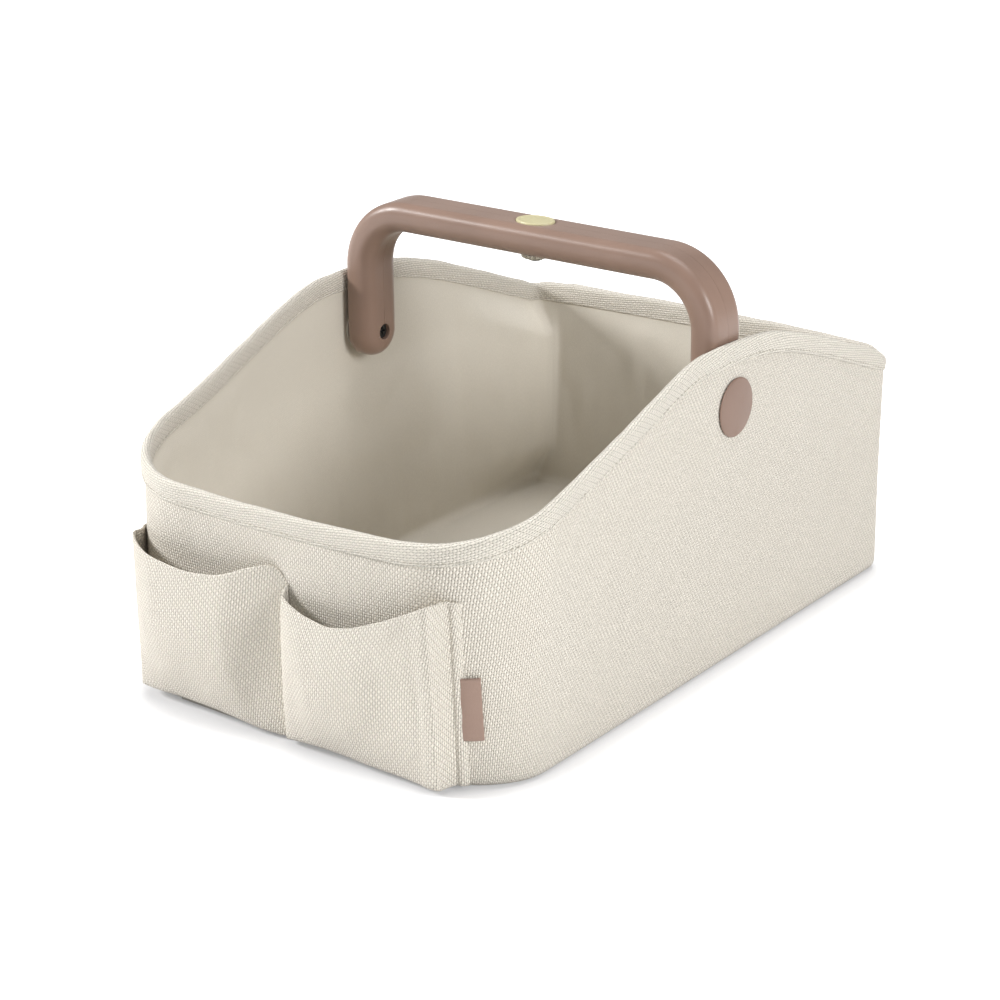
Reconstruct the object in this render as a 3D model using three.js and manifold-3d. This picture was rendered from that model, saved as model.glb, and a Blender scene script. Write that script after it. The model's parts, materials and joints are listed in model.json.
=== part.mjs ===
// A fabric nursery caddy with board-stiffened walls, two front pockets and a folding carry handle
// that holds a push-button night light. Millimetres, +Z up, the front with the pockets at -Y.
import * as THREE from 'three';
import { mergeVertices } from 'three/addons/utils/BufferGeometryUtils.js';
import Module from 'manifold-3d';

const wasm = await Module();
wasm.setup();

// Clearances shared by all pieces
const seatGap = 0.3;
const layerGap = 0.25;
const overrun = 4;
const weldDistance = 0.0001;

// Fabric body: plan sizes at the foot and at the front rim's height
const bodyWidth = 230;
const frontFoot = 166;
const rearFoot = 185;
const frontLean = 10;
const rearLean = 2.6;
const frontFootRadius = 38.5;
const frontRimRadius = 55;
const rearRadius = 9;
const frontBow = 2.4;
const rearRimBow = 6;

// Rim seen from the side: it rises in an S from the front to a hump and falls straight to the rear
const rimFrontHeight = 118.5;
const riseStartAhead = 64;
const riseStartHeight = 114.4;
const riseStartReach = 106;
const riseEndReach = 34;
const humpFrontAhead = 29;
const humpRearAhead = 11.5;
const humpHeight = 168.4;
const fallStartReach = 52;
const fallEndReach = 89;
const fallEndRise = 34;
const fallEndBefore = 6;
const rimRearHeight = 123;

// Layers of a wall, from outside to inside
const canvasThickness = 1;
const boardThickness = 1.4;
const liningThickness = 0.6;
const bandThickness = 0.7;
const bandDepth = 10.5;
const baseBoardThickness = 2;

// Handle and its pivots
const pivotPlace = 25.5;
const pivotHeight = 135.5;
const handleWidth = 226;
const handleTopRise = 74.5;
const gripDepth = 27.5;
const gripHeight = 16;
const gripRound = 6.5;
const handleOuterRadius = 38;
const handleInnerRadius = 22;
const handleWall = 2;
const swellReach = 60;
const swellFade = 90;

// Pivot hardware
const discRadius = 14.8;
const discThickness = 1.8;
const discDish = 0.5;
const discRim = 1.6;
const postRadius = 5;
const postDepthInLeg = 8.5;
const pivotWebThickness = 3.2;
const washerRadius = 11;
const screwShankRadius = 1.6;
const pivotScrewLength = 12;
const pivotHeadRadius = 3.9;
const pivotHeadThickness = 1.9;
const driveWidth = 1.1;
const driveLength = 4.4;
const driveDepth = 1;

// Battery bay in the left part of the crossbar
const batteryRadius = 5.25;
const batteryLength = 44.5;
const batteryNubRadius = 1.9;
const batteryNubLength = 0.8;
const batterySpacing = 11;
const contactThickness = 0.5;
const contactHeight = 7;
const contactWidth = 7;
const contactDimple = 1.1;
const doorHalfDepth = 10.9;
const doorScrewInset = 2.6;
const doorScrewAside = 4;
const doorScrewRadius = 1;
const doorHeadRadius = 1.9;
const doorHeadThickness = 1;
const doorScrewLength = 6;
const doorBossRadius = 2.4;
const ribThickness = 1.2;
const ribShares = [0.22, 0.78];
const leadNotchHeight = 4;
const bayIntoBend = 5;

// Light, its board and its button
const boardLength = 27;
const circuitThickness = 1.2;
const leadRadius = 0.6;
const leadAside = 8;
const leadRise = 4.4;
const leadOverBoard = 3;
const circuitDrop = 1;
const buttonLength = 21;
const buttonDepth = 16.5;
const buttonProud = 0.9;
const buttonEdgeDrop = 0.7;
const buttonFlange = 1.3;
const buttonSideFlange = 0.4;
const buttonPlay = 0.5;
const buttonFlangeThickness = 1.1;
const buttonStemRadius = 2.2;
const switchSide = 6;
const switchHeight = 3;
const plungerRadius = 1.6;
const plungerRise = 1.2;
const plungerSunk = 1;
const lampRadius = 5.6;
const lampProud = 2.6;
const lampFlange = 1.4;
const lampFlangeThickness = 1.2;
const lampFaceShares = [[0.5, 0.1], [0.9, 0.5], [1, 0.8]];
const bezelWidth = 1.5;
const bezelProud = 1.1;
const ledRadius = 1.6;
const ledHeight = 1.6;

// Screws that close the two shells
const shellScrewPlace = 19.6;
const legScrewRise = 30;
const shellShankRadius = 1.1;
const shellHeadRadius = 2.3;
const shellHeadThickness = 1.5;
const shellScrewLength = 16;
const shellBossRadius = 2.9;
const shellHeadSunk = 1;

// Front pockets and the side tab: both pockets are cut from one cloth, which is sewn to the wall
// between them and stands off it on a pleated gusset at its two outer ends
const pocketLeftSeam = -103;
const pocketMiddleSeam = -2;
const pocketRightSeam = 95;
const pocketFoot = 2.5;
const leftMouthMiddle = 91;
const leftMouthOuter = 82;
const leftMouthSag = 5;
const rightMouthMiddle = 81;
const rightMouthOuter = 94;
const rightMouthSag = 9.5;
const pocketSeamSpace = 3;
const pocketSeamOut = 1.6;
const gussetFoot = 10;
const gussetMouth = 11.5;
const cornerIn = 3;
const pleatIn = 4.4;
const pleatDepthShare = 0.4;
const bellyFoot = 2;
const bellyMouth = 11.5;
const bellyHeightPower = 1.5;
const bellyWidthPower = 0.8;
const tabWidth = 11.5;
const tabHeight = 31;
const tabFoot = 26;
const tabThickness = 0.8;
const tabSeamSpace = 1;

// Counts of steps along the plan and over the height
const frontSteps = 6;
const frontCornerSteps = 7;
const sideSteps = 15;
const rearCornerSteps = 3;
const rearSteps = 8;
const wallRows = 4;
const bandArcSteps = 4;
const pocketSteps = 20;
const pocketRows = 6;
const roundSides = 24;
const smallSides = 12;
const ovalSteps = 14;
const gripRoundSteps = 3;
const gripCornerSteps = 6;
const legEndSteps = 10;
const rimCurveSteps = 48;
const tabRows = 3;
const tabColumns = 5;
const cellSides = 16;
const leadSteps = 16;
const leadSides = 6;

// Sizes that follow from the ones above
const wallStack = canvasThickness + boardThickness + liningThickness + 2 * layerGap;
const bandLayer = bandThickness + layerGap;
const bandRadius = wallStack / 2 + bandLayer;
const swell = handleWidth / 2 + seatGap + bandLayer + wallStack - bodyWidth / 2;
const swellFullHeight = pivotHeight - gripDepth / 2;
const boardInset = canvasThickness + layerGap;
const liningInset = boardInset + boardThickness + layerGap;
const innerHalfWidth = bodyWidth / 2 + swell - wallStack;
const outerHalfWidth = bodyWidth / 2 + swell;
const crossbarMiddle = handleTopRise - gripHeight / 2;
const cavityHalfHeight = gripHeight / 2 - handleWall;
const legInnerFace = handleWidth / 2 - gripHeight;
const bayOuterEnd = handleWidth / 2 - handleOuterRadius + bayIntoBend;
const bayLength = batteryLength + batteryNubLength + 2 * (contactThickness + contactDimple + 2 * seatGap);
const bayInnerEnd = bayOuterEnd - bayLength;

// Finishes
function finish(color, roughness, metalness) {
  return new THREE.MeshStandardMaterial({ color, roughness, metalness });
}
const canvas = finish('#e2dccf', 0.9, 0);
const paleLining = finish('#bdb8ab', 0.85, 0);
const board = finish('#8d8474', 0.9, 0);
const mochaPlastic = finish('#a08474', 0.5, 0);
const mochaTab = finish('#a08474', 0.75, 0);
const darkSteel = finish('#4a4c49', 0.4, 0.9);
const brightSteel = finish('#b9bbbd', 0.3, 0.95);
const paleNylon = finish('#d9d6cc', 0.6, 0);
const glowPlastic = finish('#cfc99a', 0.45, 0);
const circuitGreen = finish('#2f6b45', 0.6, 0.1);
const blackPlastic = finish('#26282a', 0.5, 0);
const clearPlastic = finish('#e8eef0', 0.05, 0);
const ledYellow = finish('#f2e7a8', 0.3, 0);
const batteryWrap = finish('#3c5f7a', 0.35, 0.4);
const redSleeve = finish('#8e2f2a', 0.5, 0);
const blackSleeve = finish('#202122', 0.5, 0);

const caddy = new THREE.Group();

function addPiece(name, manifold, material, group = caddy) {
  const mesh = new THREE.Mesh(geometryOf(manifold), material);
  mesh.name = name;
  group.add(mesh);
  return mesh;
}

// Welds a geometry and drops the triangles that have closed up
function welded(geometry) {
  const bare = geometry.clone();
  bare.deleteAttribute('normal');
  bare.deleteAttribute('uv');
  const joined = mergeVertices(bare, weldDistance);
  const index = joined.index.array;
  const kept = [];
  for (let i = 0; i < index.length; i += 3) {
    const [a, b, c] = [index[i], index[i + 1], index[i + 2]];
    if (a !== b && b !== c && c !== a) kept.push(a, b, c);
  }
  joined.setIndex(kept);
  return joined;
}

// A turned-over profile comes out with its faces inwards, so its triangles are reversed
function outwardFacing(geometry) {
  const position = geometry.attributes.position;
  const index = Array.from(geometry.index.array);
  const corner = (k) => new THREE.Vector3().fromBufferAttribute(position, index[k]);
  let volume = 0;
  for (let i = 0; i < index.length; i += 3) {
    volume += corner(i).dot(corner(i + 1).cross(corner(i + 2)));
  }
  if (volume < 0) geometry.setIndex(index.reverse());
  return geometry;
}

function solid(geometry) {
  const joined = outwardFacing(welded(geometry));
  return new wasm.Manifold(new wasm.Mesh({
    numProp: 3,
    vertProperties: new Float32Array(joined.attributes.position.array),
    triVerts: new Uint32Array(joined.index.array),
  }));
}

function geometryOf(manifold) {
  const mesh = manifold.getMesh();
  const geometry = new THREE.BufferGeometry();
  const position = new Float32Array(mesh.vertProperties.length);
  position.set(mesh.vertProperties);
  geometry.setAttribute('position', new THREE.BufferAttribute(position, 3));
  geometry.setIndex(new THREE.BufferAttribute(new Uint32Array(mesh.triVerts), 1));
  geometry.computeVertexNormals();
  return geometry;
}

const axes = {
  x: new THREE.Matrix4().makeBasis(
    new THREE.Vector3(0, 1, 0), new THREE.Vector3(0, 0, 1), new THREE.Vector3(1, 0, 0)),
  y: new THREE.Matrix4().makeBasis(
    new THREE.Vector3(0, 0, 1), new THREE.Vector3(1, 0, 0), new THREE.Vector3(0, 1, 0)),
  z: new THREE.Matrix4(),
};

// A revolved profile: points are [radius, distance along the axis]
function turned(profile, axis, x, y, z, sides = roundSides) {
  const points = profile.map(([radius, along]) => new THREE.Vector2(radius, along));
  const geometry = new THREE.LatheGeometry(points, sides);
  geometry.rotateX(Math.PI / 2);
  geometry.applyMatrix4(axes[axis]);
  geometry.translate(x, y, z);
  return solid(geometry);
}

function rod(axis, radius, from, to, x, y, z, sides = smallSides) {
  return turned([[0, from], [radius, from], [radius, to], [0, to]], axis, x, y, z, sides);
}

function ring(axis, inner, outer, from, to, x, y, z, sides = roundSides) {
  const profile = [[inner, from], [outer, from], [outer, to], [inner, to], [inner, from]];
  return turned(profile, axis, x, y, z, sides);
}

function box(x0, x1, y0, y1, z0, z1) {
  const geometry = new THREE.BoxGeometry(x1 - x0, y1 - y0, z1 - z0);
  geometry.translate((x0 + x1) / 2, (y0 + y1) / 2, (z0 + z1) / 2);
  return solid(geometry);
}

function ovalPrism(length, depth, z0, z1, inset = 0) {
  const shape = new THREE.Shape();
  shape.absellipse(0, 0, length / 2 - inset, depth / 2 - inset, 0, 2 * Math.PI);
  const geometry = new THREE.ExtrudeGeometry(shape,
    { depth: z1 - z0, bevelEnabled: false, curveSegments: ovalSteps });
  geometry.translate(0, 0, z0);
  return solid(geometry);
}

// A closed sheet between an outer and an inner grid of points, each grid[row][column]
function sheetSolid(outer, inner, closed) {
  const rows = outer.length;
  const columns = outer[0].length;
  const position = [];
  const index = [];
  for (const grid of [outer, inner]) {
    for (const row of grid) for (const point of row) position.push(point.x, point.y, point.z);
  }
  const at = (side, row, column) => (side * rows + row) * columns + (column % columns);
  const quad = (a, b, c, d) => index.push(a, b, c, a, c, d);
  const spans = closed ? columns : columns - 1;
  for (let c = 0; c < spans; c += 1) {
    for (let r = 0; r < rows - 1; r += 1) {
      quad(at(0, r, c), at(0, r, c + 1), at(0, r + 1, c + 1), at(0, r + 1, c));
      quad(at(1, r + 1, c), at(1, r + 1, c + 1), at(1, r, c + 1), at(1, r, c));
    }
    quad(at(1, 0, c), at(1, 0, c + 1), at(0, 0, c + 1), at(0, 0, c));
    quad(at(0, rows - 1, c), at(0, rows - 1, c + 1), at(1, rows - 1, c + 1), at(1, rows - 1, c));
  }
  if (!closed) {
    for (let r = 0; r < rows - 1; r += 1) {
      quad(at(1, r, 0), at(0, r, 0), at(0, r + 1, 0), at(1, r + 1, 0));
      const e = columns - 1;
      quad(at(0, r, e), at(1, r, e), at(1, r + 1, e), at(0, r + 1, e));
    }
  }
  return solid(indexedGeometry(position, index));
}

// A closed block from rings of points, capped by fans to a middle point below and above
function ringSolid(rings, lowMiddle, highMiddle) {
  const columns = rings[0].length;
  const position = [];
  const index = [];
  for (const one of rings) for (const point of one) position.push(point.x, point.y, point.z);
  const low = rings.length * columns;
  const high = low + 1;
  position.push(lowMiddle.x, lowMiddle.y, lowMiddle.z, highMiddle.x, highMiddle.y, highMiddle.z);
  for (let c = 0; c < columns; c += 1) {
    const next = (c + 1) % columns;
    for (let r = 0; r < rings.length - 1; r += 1) {
      const [a, b] = [r * columns + c, r * columns + next];
      index.push(a, b, b + columns, a, b + columns, a + columns);
    }
    const top = (rings.length - 1) * columns;
    index.push(low, next, c, high, top + c, top + next);
  }
  return solid(indexedGeometry(position, index));
}

// Closed skin through rings of an open outline and its way back; each end is closed like a ladder
function ladderSolid(rings) {
  const columns = rings[0].length;
  const position = [];
  const index = [];
  for (const one of rings) for (const point of one) position.push(point.x, point.y, point.z);
  const top = (rings.length - 1) * columns;
  for (let c = 0; c < columns; c += 1) {
    const next = (c + 1) % columns;
    for (let r = 0; r < rings.length - 1; r += 1) {
      const [a, b] = [r * columns + c, r * columns + next];
      index.push(a, b, b + columns, a, b + columns, a + columns);
    }
  }
  for (let near = 0; near + 1 < columns - 1 - near; near += 1) {
    const far = columns - 1 - near;
    const rungs = [[near, near + 1, far]];
    if (near + 1 < far - 1) rungs.push([near + 1, far - 1, far]);
    for (const [a, b, c] of rungs) index.push(b, a, c, top + a, top + b, top + c);
  }
  return solid(indexedGeometry(position, index));
}

function indexedGeometry(position, index) {
  const geometry = new THREE.BufferGeometry();
  geometry.setAttribute('position', new THREE.Float32BufferAttribute(position, 3));
  geometry.setIndex(index);
  return geometry;
}

// Height of the rim over a place along the body, from the two curves of its side view
function rimCurvePoints() {
  const humpFront = pivotPlace - humpFrontAhead;
  const humpRear = pivotPlace - humpRearAhead;
  const start = -frontFoot - riseStartAhead;
  const end = rearFoot - fallEndBefore;
  const rise = new THREE.CubicBezierCurve(
    new THREE.Vector2(start, riseStartHeight),
    new THREE.Vector2(start + riseStartReach, riseStartHeight),
    new THREE.Vector2(humpFront - riseEndReach, humpHeight),
    new THREE.Vector2(humpFront, humpHeight));
  const fall = new THREE.CubicBezierCurve(
    new THREE.Vector2(humpRear, humpHeight),
    new THREE.Vector2(humpRear + fallStartReach, humpHeight),
    new THREE.Vector2(end - fallEndReach, rimRearHeight + fallEndRise),
    new THREE.Vector2(end, rimRearHeight));
  return [...rise.getPoints(rimCurveSteps), ...fall.getPoints(rimCurveSteps)];
}
const rimCurve = rimCurvePoints();

function rimHeight(place) {
  const after = rimCurve.findIndex((point) => point.x >= place);
  if (after < 0) return rimRearHeight;
  if (after === 0) return riseStartHeight;
  const [a, b] = [rimCurve[after - 1], rimCurve[after]];
  return THREE.MathUtils.mapLinear(place, a.x, b.x, a.y, b.y);
}

// How far the side wall stands out over the handle's ends, as a share from 0 to 1
function swellShareAt(place, height) {
  const along = THREE.MathUtils.smoothstep(Math.abs(place - pivotPlace), swellReach, swellReach + swellFade);
  return (1 - along) * THREE.MathUtils.smoothstep(height, 0, swellFullHeight);
}

// The plan at a height: where the front and rear lie and how round the corners are
function planAt(height, inset) {
  const rise = height / rimFrontHeight;
  return {
    half: bodyWidth / 2 - inset,
    front: inset - frontFoot - frontLean * rise,
    rear: rearFoot + rearLean * rise - inset,
    frontRadius: THREE.MathUtils.lerp(frontFootRadius, frontRimRadius, rise) - inset,
    rearRadius: rearRadius - inset,
    rearBow: rearRimBow * rise,
  };
}

// Stations run round the plan from the left end of the front edge, anticlockwise seen from above
const stations = [];
for (let k = 0; k <= frontSteps; k += 1) stations.push({ zone: 'front', along: 2 * k / frontSteps - 1 });
function addHalf(side) {
  const corner = [];
  for (let k = 1; k <= frontCornerSteps; k += 1) {
    corner.push({ zone: 'frontCorner', side, angle: (k / frontCornerSteps) * Math.PI / 2 });
  }
  for (let k = 1; k <= sideSteps; k += 1) corner.push({ zone: 'side', side, along: k / sideSteps });
  for (let k = 1; k <= rearCornerSteps; k += 1) {
    corner.push({ zone: 'rearCorner', side, angle: (k / rearCornerSteps) * Math.PI / 2 });
  }
  return corner;
}
stations.push(...addHalf(1));
for (let k = 1; k <= rearSteps; k += 1) stations.push({ zone: 'rear', along: 1 - 2 * k / rearSteps });
stations.push(...addHalf(-1).reverse().slice(1));

function wallPoint(station, height, inset) {
  const plan = planAt(height, inset);
  let x = 0;
  let y = 0;
  if (station.zone === 'front') {
    x = station.along * (plan.half - plan.frontRadius);
    y = plan.front - frontBow * (1 - station.along ** 2);
  } else if (station.zone === 'frontCorner') {
    x = station.side * (plan.half - plan.frontRadius * (1 - Math.sin(station.angle)));
    y = plan.front + plan.frontRadius * (1 - Math.cos(station.angle));
  } else if (station.zone === 'side') {
    x = station.side * plan.half;
    y = THREE.MathUtils.lerp(plan.front + plan.frontRadius, plan.rear - plan.rearRadius, station.along);
  } else if (station.zone === 'rearCorner') {
    x = station.side * (plan.half - plan.rearRadius * (1 - Math.cos(station.angle)));
    y = plan.rear - plan.rearRadius * (1 - Math.sin(station.angle));
  } else {
    x = station.along * (plan.half - plan.rearRadius);
    y = plan.rear + plan.rearBow * (1 - station.along ** 2);
  }
  if (station.side) x += station.side * swell * swellShareAt(y, height);
  return new THREE.Vector3(x, y, height);
}

function stationRim(station) {
  return rimHeight(wallPoint(station, rimFrontHeight, 0).y);
}

// Rows of wall points from a foot height up to a drop below the rim
function wallGrid(chosen, inset, foot, drop) {
  const grid = [];
  for (let row = 0; row <= wallRows; row += 1) {
    grid.push(chosen.map((station) => {
      const height = THREE.MathUtils.lerp(foot, stationRim(station) - drop, row / wallRows);
      return wallPoint(station, height, inset);
    }));
  }
  return grid;
}

function wallSheet(chosen, inset, thickness, foot, closed) {
  return sheetSolid(
    wallGrid(chosen, inset, foot, bandRadius),
    wallGrid(chosen, inset + thickness, foot, bandRadius), closed);
}

function wallBlock(inset, foot, top) {
  const ringAt = (height) => stations.map((station) => wallPoint(station, height, inset));
  return ringSolid([ringAt(foot), ringAt(top)], new THREE.Vector3(0, 0, foot), new THREE.Vector3(0, 0, top));
}

// Fabric and boards of the body, with the pivot holes through them
const postHole = rod('x', postRadius + seatGap, -outerHalfWidth - overrun, outerHalfWidth + overrun,
  0, pivotPlace, pivotHeight, roundSides);
const baseTop = canvasThickness + layerGap + baseBoardThickness;

function makeBody() {
  addPiece('outer_wall', wallSheet(stations, 0, canvasThickness, 0, true).subtract(postHole), canvas);
  addPiece('base_cover', wallBlock(boardInset, 0, canvasThickness), canvas);
  const baseInset = boardInset + boardThickness + seatGap;
  addPiece('base_board', wallBlock(baseInset, canvasThickness + layerGap, baseTop), board);
  const boardFoot = canvasThickness + layerGap;
  const sheet = (chosen) => wallSheet(chosen, boardInset, boardThickness, boardFoot, false);
  const zone = (name, side) => stations.filter((station) => station.zone === name && station.side === side);
  addPiece('front_board', sheet(zone('front')), board);
  addPiece('rear_board', sheet(zone('rear').slice(0, -1)), board);
  addPiece('left_board', sheet(zone('side', -1)).subtract(postHole), board);
  addPiece('right_board', sheet(zone('side', 1)).subtract(postHole), board);
  addPiece('lining', makeLining(), paleLining);
  addPiece('rim_band', makeBand(), canvas);
}

// The lining is one sewn bag: its walls and its floor
function makeLining() {
  const foot = baseTop + layerGap;
  const outside = wallGrid(stations, liningInset, foot, bandRadius);
  const inside = wallGrid(stations, liningInset + liningThickness, foot + liningThickness, bandRadius);
  const top = inside.at(-1).map((point) => point.clone().setZ(point.z + overrun));
  const low = new THREE.Vector3(0, 0, foot);
  const high = new THREE.Vector3(0, 0, humpHeight);
  const bag = ringSolid(outside, low, high);
  const room = ringSolid([...inside, top], low.clone().setZ(foot + liningThickness),
    high.clone().setZ(humpHeight + 2 * overrun));
  return bag.subtract(room).subtract(postHole);
}

// The rim band is folded over all layers: an outer leg, a round top and an inner leg
function makeBand() {
  const middle = wallStack / 2;
  const path = (radius) => {
    const points = [[middle - radius, bandDepth]];
    for (let k = 0; k <= bandArcSteps; k += 1) {
      const angle = Math.PI * k / bandArcSteps;
      points.push([middle - radius * Math.cos(angle), bandRadius - radius * Math.sin(angle)]);
    }
    points.push([middle + radius, bandDepth]);
    return points;
  };
  const grid = (radius) => path(radius).map(([inset, drop]) => stations.map((station) => {
    return wallPoint(station, stationRim(station) - drop, inset);
  }));
  return sheetSolid(grid(bandRadius), grid(bandRadius - bandThickness), true);
}

// Where the front wall's outer face lies at a place across it
function frontWallAt(x, height, inset) {
  const plan = planAt(height, inset);
  const straight = plan.half - plan.frontRadius;
  const beyond = Math.abs(x) - straight;
  if (beyond <= 0) return plan.front - frontBow * (1 - (x / straight) ** 2);
  return plan.front + plan.frontRadius - Math.sqrt(plan.frontRadius ** 2 - beyond ** 2);
}

// A pocket is a bellied front from the middle seam to a pleated gusset, sewn shut along its foot
function makePocket(middleSeam, outerSeam, mouthMiddle, mouthOuter, mouthSag) {
  const side = Math.sign(outerSeam - middleSeam);
  const outline = (share, thin, lift, reachBack) => {
    const gusset = THREE.MathUtils.lerp(gussetFoot, gussetMouth, share) - thin;
    const belly = THREE.MathUtils.lerp(bellyFoot, bellyMouth, share ** bellyHeightPower);
    const point = (along, inset, out) => {
      const x = THREE.MathUtils.lerp(middleSeam + side * thin, outerSeam - side * (inset + thin), along);
      const sag = mouthSag * Math.sin(Math.PI * along);
      const mouth = THREE.MathUtils.lerp(mouthMiddle, mouthOuter, along) - sag;
      const z = THREE.MathUtils.lerp(pocketFoot, mouth, share) + lift;
      return new THREE.Vector3(x, frontWallAt(x, z, 0) - seatGap - out, z);
    };
    const front = [];
    const back = [];
    for (let k = 0; k <= pocketSteps; k += 1) {
      const along = k / pocketSteps;
      const bulge = belly * Math.sin(Math.PI * along) ** bellyWidthPower;
      front.push(point(along, cornerIn, THREE.MathUtils.lerp(pocketSeamOut - thin, gusset, along) + bulge));
      back.push(point(along, 0, -reachBack));
    }
    return [...front, point(1, pleatIn, gusset * pleatDepthShare), ...back.reverse()];
  };
  const rings = (thin, lift, reachBack) => {
    const all = [];
    for (let row = 0; row <= pocketRows; row += 1) all.push(outline(row / pocketRows, thin, lift, reachBack));
    return all;
  };
  const outside = ladderSolid(rings(0, 0, 0));
  const inside = rings(canvasThickness, canvasThickness, overrun);
  const above = outline(1, canvasThickness, canvasThickness + overrun, overrun);
  return outside.subtract(ladderSolid([...inside, above]));
}

function makeTab() {
  const grid = (proud) => {
    const all = [];
    for (let r = 0; r <= tabRows; r += 1) {
      const height = tabFoot + tabHeight * r / tabRows;
      const plan = planAt(height, 0);
      const straight = plan.half - plan.frontRadius;
      const start = Math.asin((pocketRightSeam + tabSeamSpace - straight) / plan.frontRadius);
      const row = [];
      for (let c = 0; c <= tabColumns; c += 1) {
        const angle = start + (tabWidth / plan.frontRadius) * c / tabColumns;
        const radius = plan.frontRadius + proud;
        row.push(new THREE.Vector3(straight + radius * Math.sin(angle),
          plan.front + plan.frontRadius - radius * Math.cos(angle), height));
      }
      all.push(row);
    }
    return all;
  };
  return sheetSolid(grid(seatGap + tabThickness), grid(seatGap), false);
}

// Pivot pieces of one side: they are drawn for the right side and turned over for the left
function makePivot(name, side) {
  const place = (profile, sides) => {
    const turnedProfile = profile.map(([radius, along]) => [radius, side * along]);
    return turned(turnedProfile, 'x', 0, pivotPlace, pivotHeight, sides);
  };
  const wallFace = outerHalfWidth + seatGap;
  const postEnd = handleWidth / 2 - postDepthInLeg;
  const pilot = screwShankRadius + seatGap;
  const pilotEnd = postEnd + pivotScrewLength;
  const outFace = wallFace + discThickness;
  addPiece(`${name}_disc`, place([[pilot, postEnd], [postRadius, postEnd], [postRadius, wallFace],
    [discRadius - discDish, wallFace], [discRadius, wallFace + discDish], [discRadius - discDish, outFace],
    [discRadius - discRim, outFace], [discRadius - 2 * discRim, outFace - discDish],
    [0, outFace - discDish], [0, pilotEnd], [pilot, pilotEnd], [pilot, postEnd]]), mochaPlastic);
  const washerFrom = handleWidth / 2 + seatGap;
  const washerTo = innerHalfWidth - seatGap;
  const bore = postRadius + seatGap;
  addPiece(`${name}_wall_washer`, place([[bore, washerFrom], [washerRadius, washerFrom],
    [washerRadius, washerTo], [bore, washerTo], [bore, washerFrom]]), paleNylon);
  const seat = postEnd - seatGap - pivotWebThickness - seatGap;
  const tip = pilotEnd - 2 * seatGap;
  const screw = place([[0, seat - pivotHeadThickness], [pivotHeadRadius, seat - pivotHeadThickness],
    [pivotHeadRadius, seat], [screwShankRadius, seat], [screwShankRadius, tip], [0, tip]], smallSides);
  const headFace = seat - pivotHeadThickness;
  const ends = [side * (headFace - overrun), side * (headFace + driveDepth)];
  const [from, to] = [Math.min(...ends), Math.max(...ends)];
  const slotAcross = box(from, to, pivotPlace - driveLength / 2, pivotPlace + driveLength / 2,
    pivotHeight - driveWidth / 2, pivotHeight + driveWidth / 2);
  const slotUp = box(from, to, pivotPlace - driveWidth / 2, pivotPlace + driveWidth / 2,
    pivotHeight - driveLength / 2, pivotHeight + driveLength / 2);
  addPiece(`${name}_pivot_screw`, screw.subtract(slotAcross.add(slotUp)), darkSteel);
}

// The handle is drawn round its pivot line, which is the handle group's own X axis
const handle = new THREE.Group();
handle.position.set(0, pivotPlace, pivotHeight);
caddy.add(handle);

function handleOutline(inset, foot) {
  const halfOut = handleWidth / 2 - inset;
  const halfIn = legInnerFace + inset;
  const top = handleTopRise - inset;
  const under = handleTopRise - gripHeight + inset;
  const outer = handleOuterRadius - inset;
  const inner = handleInnerRadius + inset;
  const shape = new THREE.Shape();
  shape.moveTo(-halfOut, foot);
  shape.lineTo(-halfOut, top - outer);
  shape.absarc(outer - halfOut, top - outer, outer, Math.PI, Math.PI / 2, true);
  shape.lineTo(halfOut - outer, top);
  shape.absarc(halfOut - outer, top - outer, outer, Math.PI / 2, 0, true);
  shape.lineTo(halfOut, foot);
  shape.lineTo(halfIn, foot);
  shape.lineTo(halfIn, under - inner);
  shape.absarc(halfIn - inner, under - inner, inner, 0, Math.PI / 2, false);
  shape.lineTo(inner - halfIn, under);
  shape.absarc(inner - halfIn, under - inner, inner, Math.PI / 2, Math.PI, false);
  shape.lineTo(-halfIn, foot);
  shape.closePath();
  return shape;
}

// A rounded bar that follows the handle's outline, set in from its faces by a wall
function handleBar(wall, foot) {
  const round = gripRound - wall;
  const depth = gripDepth - 2 * wall - 2 * round;
  const geometry = new THREE.ExtrudeGeometry(handleOutline(wall + round, foot + round), {
    depth, bevelEnabled: true, bevelSize: round, bevelThickness: round,
    bevelSegments: gripRoundSteps, curveSegments: gripCornerSteps,
  });
  geometry.rotateX(Math.PI / 2);
  geometry.translate(0, depth / 2, 0);
  return solid(geometry);
}

// Rounds the legs' lower ends about the pivot
function legEndForm() {
  const shape = new THREE.Shape();
  const radius = gripDepth / 2;
  shape.moveTo(-radius, 0);
  shape.absarc(0, 0, radius, Math.PI, 2 * Math.PI, false);
  shape.lineTo(radius, handleTopRise + overrun);
  shape.lineTo(-radius, handleTopRise + overrun);
  shape.closePath();
  const geometry = new THREE.ExtrudeGeometry(shape,
    { depth: handleWidth + 2 * overrun, bevelEnabled: false, curveSegments: legEndSteps });
  geometry.applyMatrix4(axes.x);
  geometry.translate(-handleWidth / 2 - overrun, 0, 0);
  return solid(geometry);
}

const doorEnds = [-bayOuterEnd, -bayInnerEnd + 2 * doorScrewInset];
const doorScrewX = doorEnds[1] - doorScrewInset;
const doorSeat = crossbarMiddle - cavityHalfHeight;
const shellScrews = [
  [-shellScrewPlace, crossbarMiddle], [shellScrewPlace, crossbarMiddle],
  [-(legInnerFace + gripHeight / 2), legScrewRise], [legInnerFace + gripHeight / 2, legScrewRise],
];
const headSeat = gripDepth / 2 - shellHeadSunk - shellHeadThickness;
const shellReach = gripDepth / 2 - handleWall / 2;
const ribPlaces = ribShares.map((share) => THREE.MathUtils.lerp(-bayOuterEnd, -bayInnerEnd, share));

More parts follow.
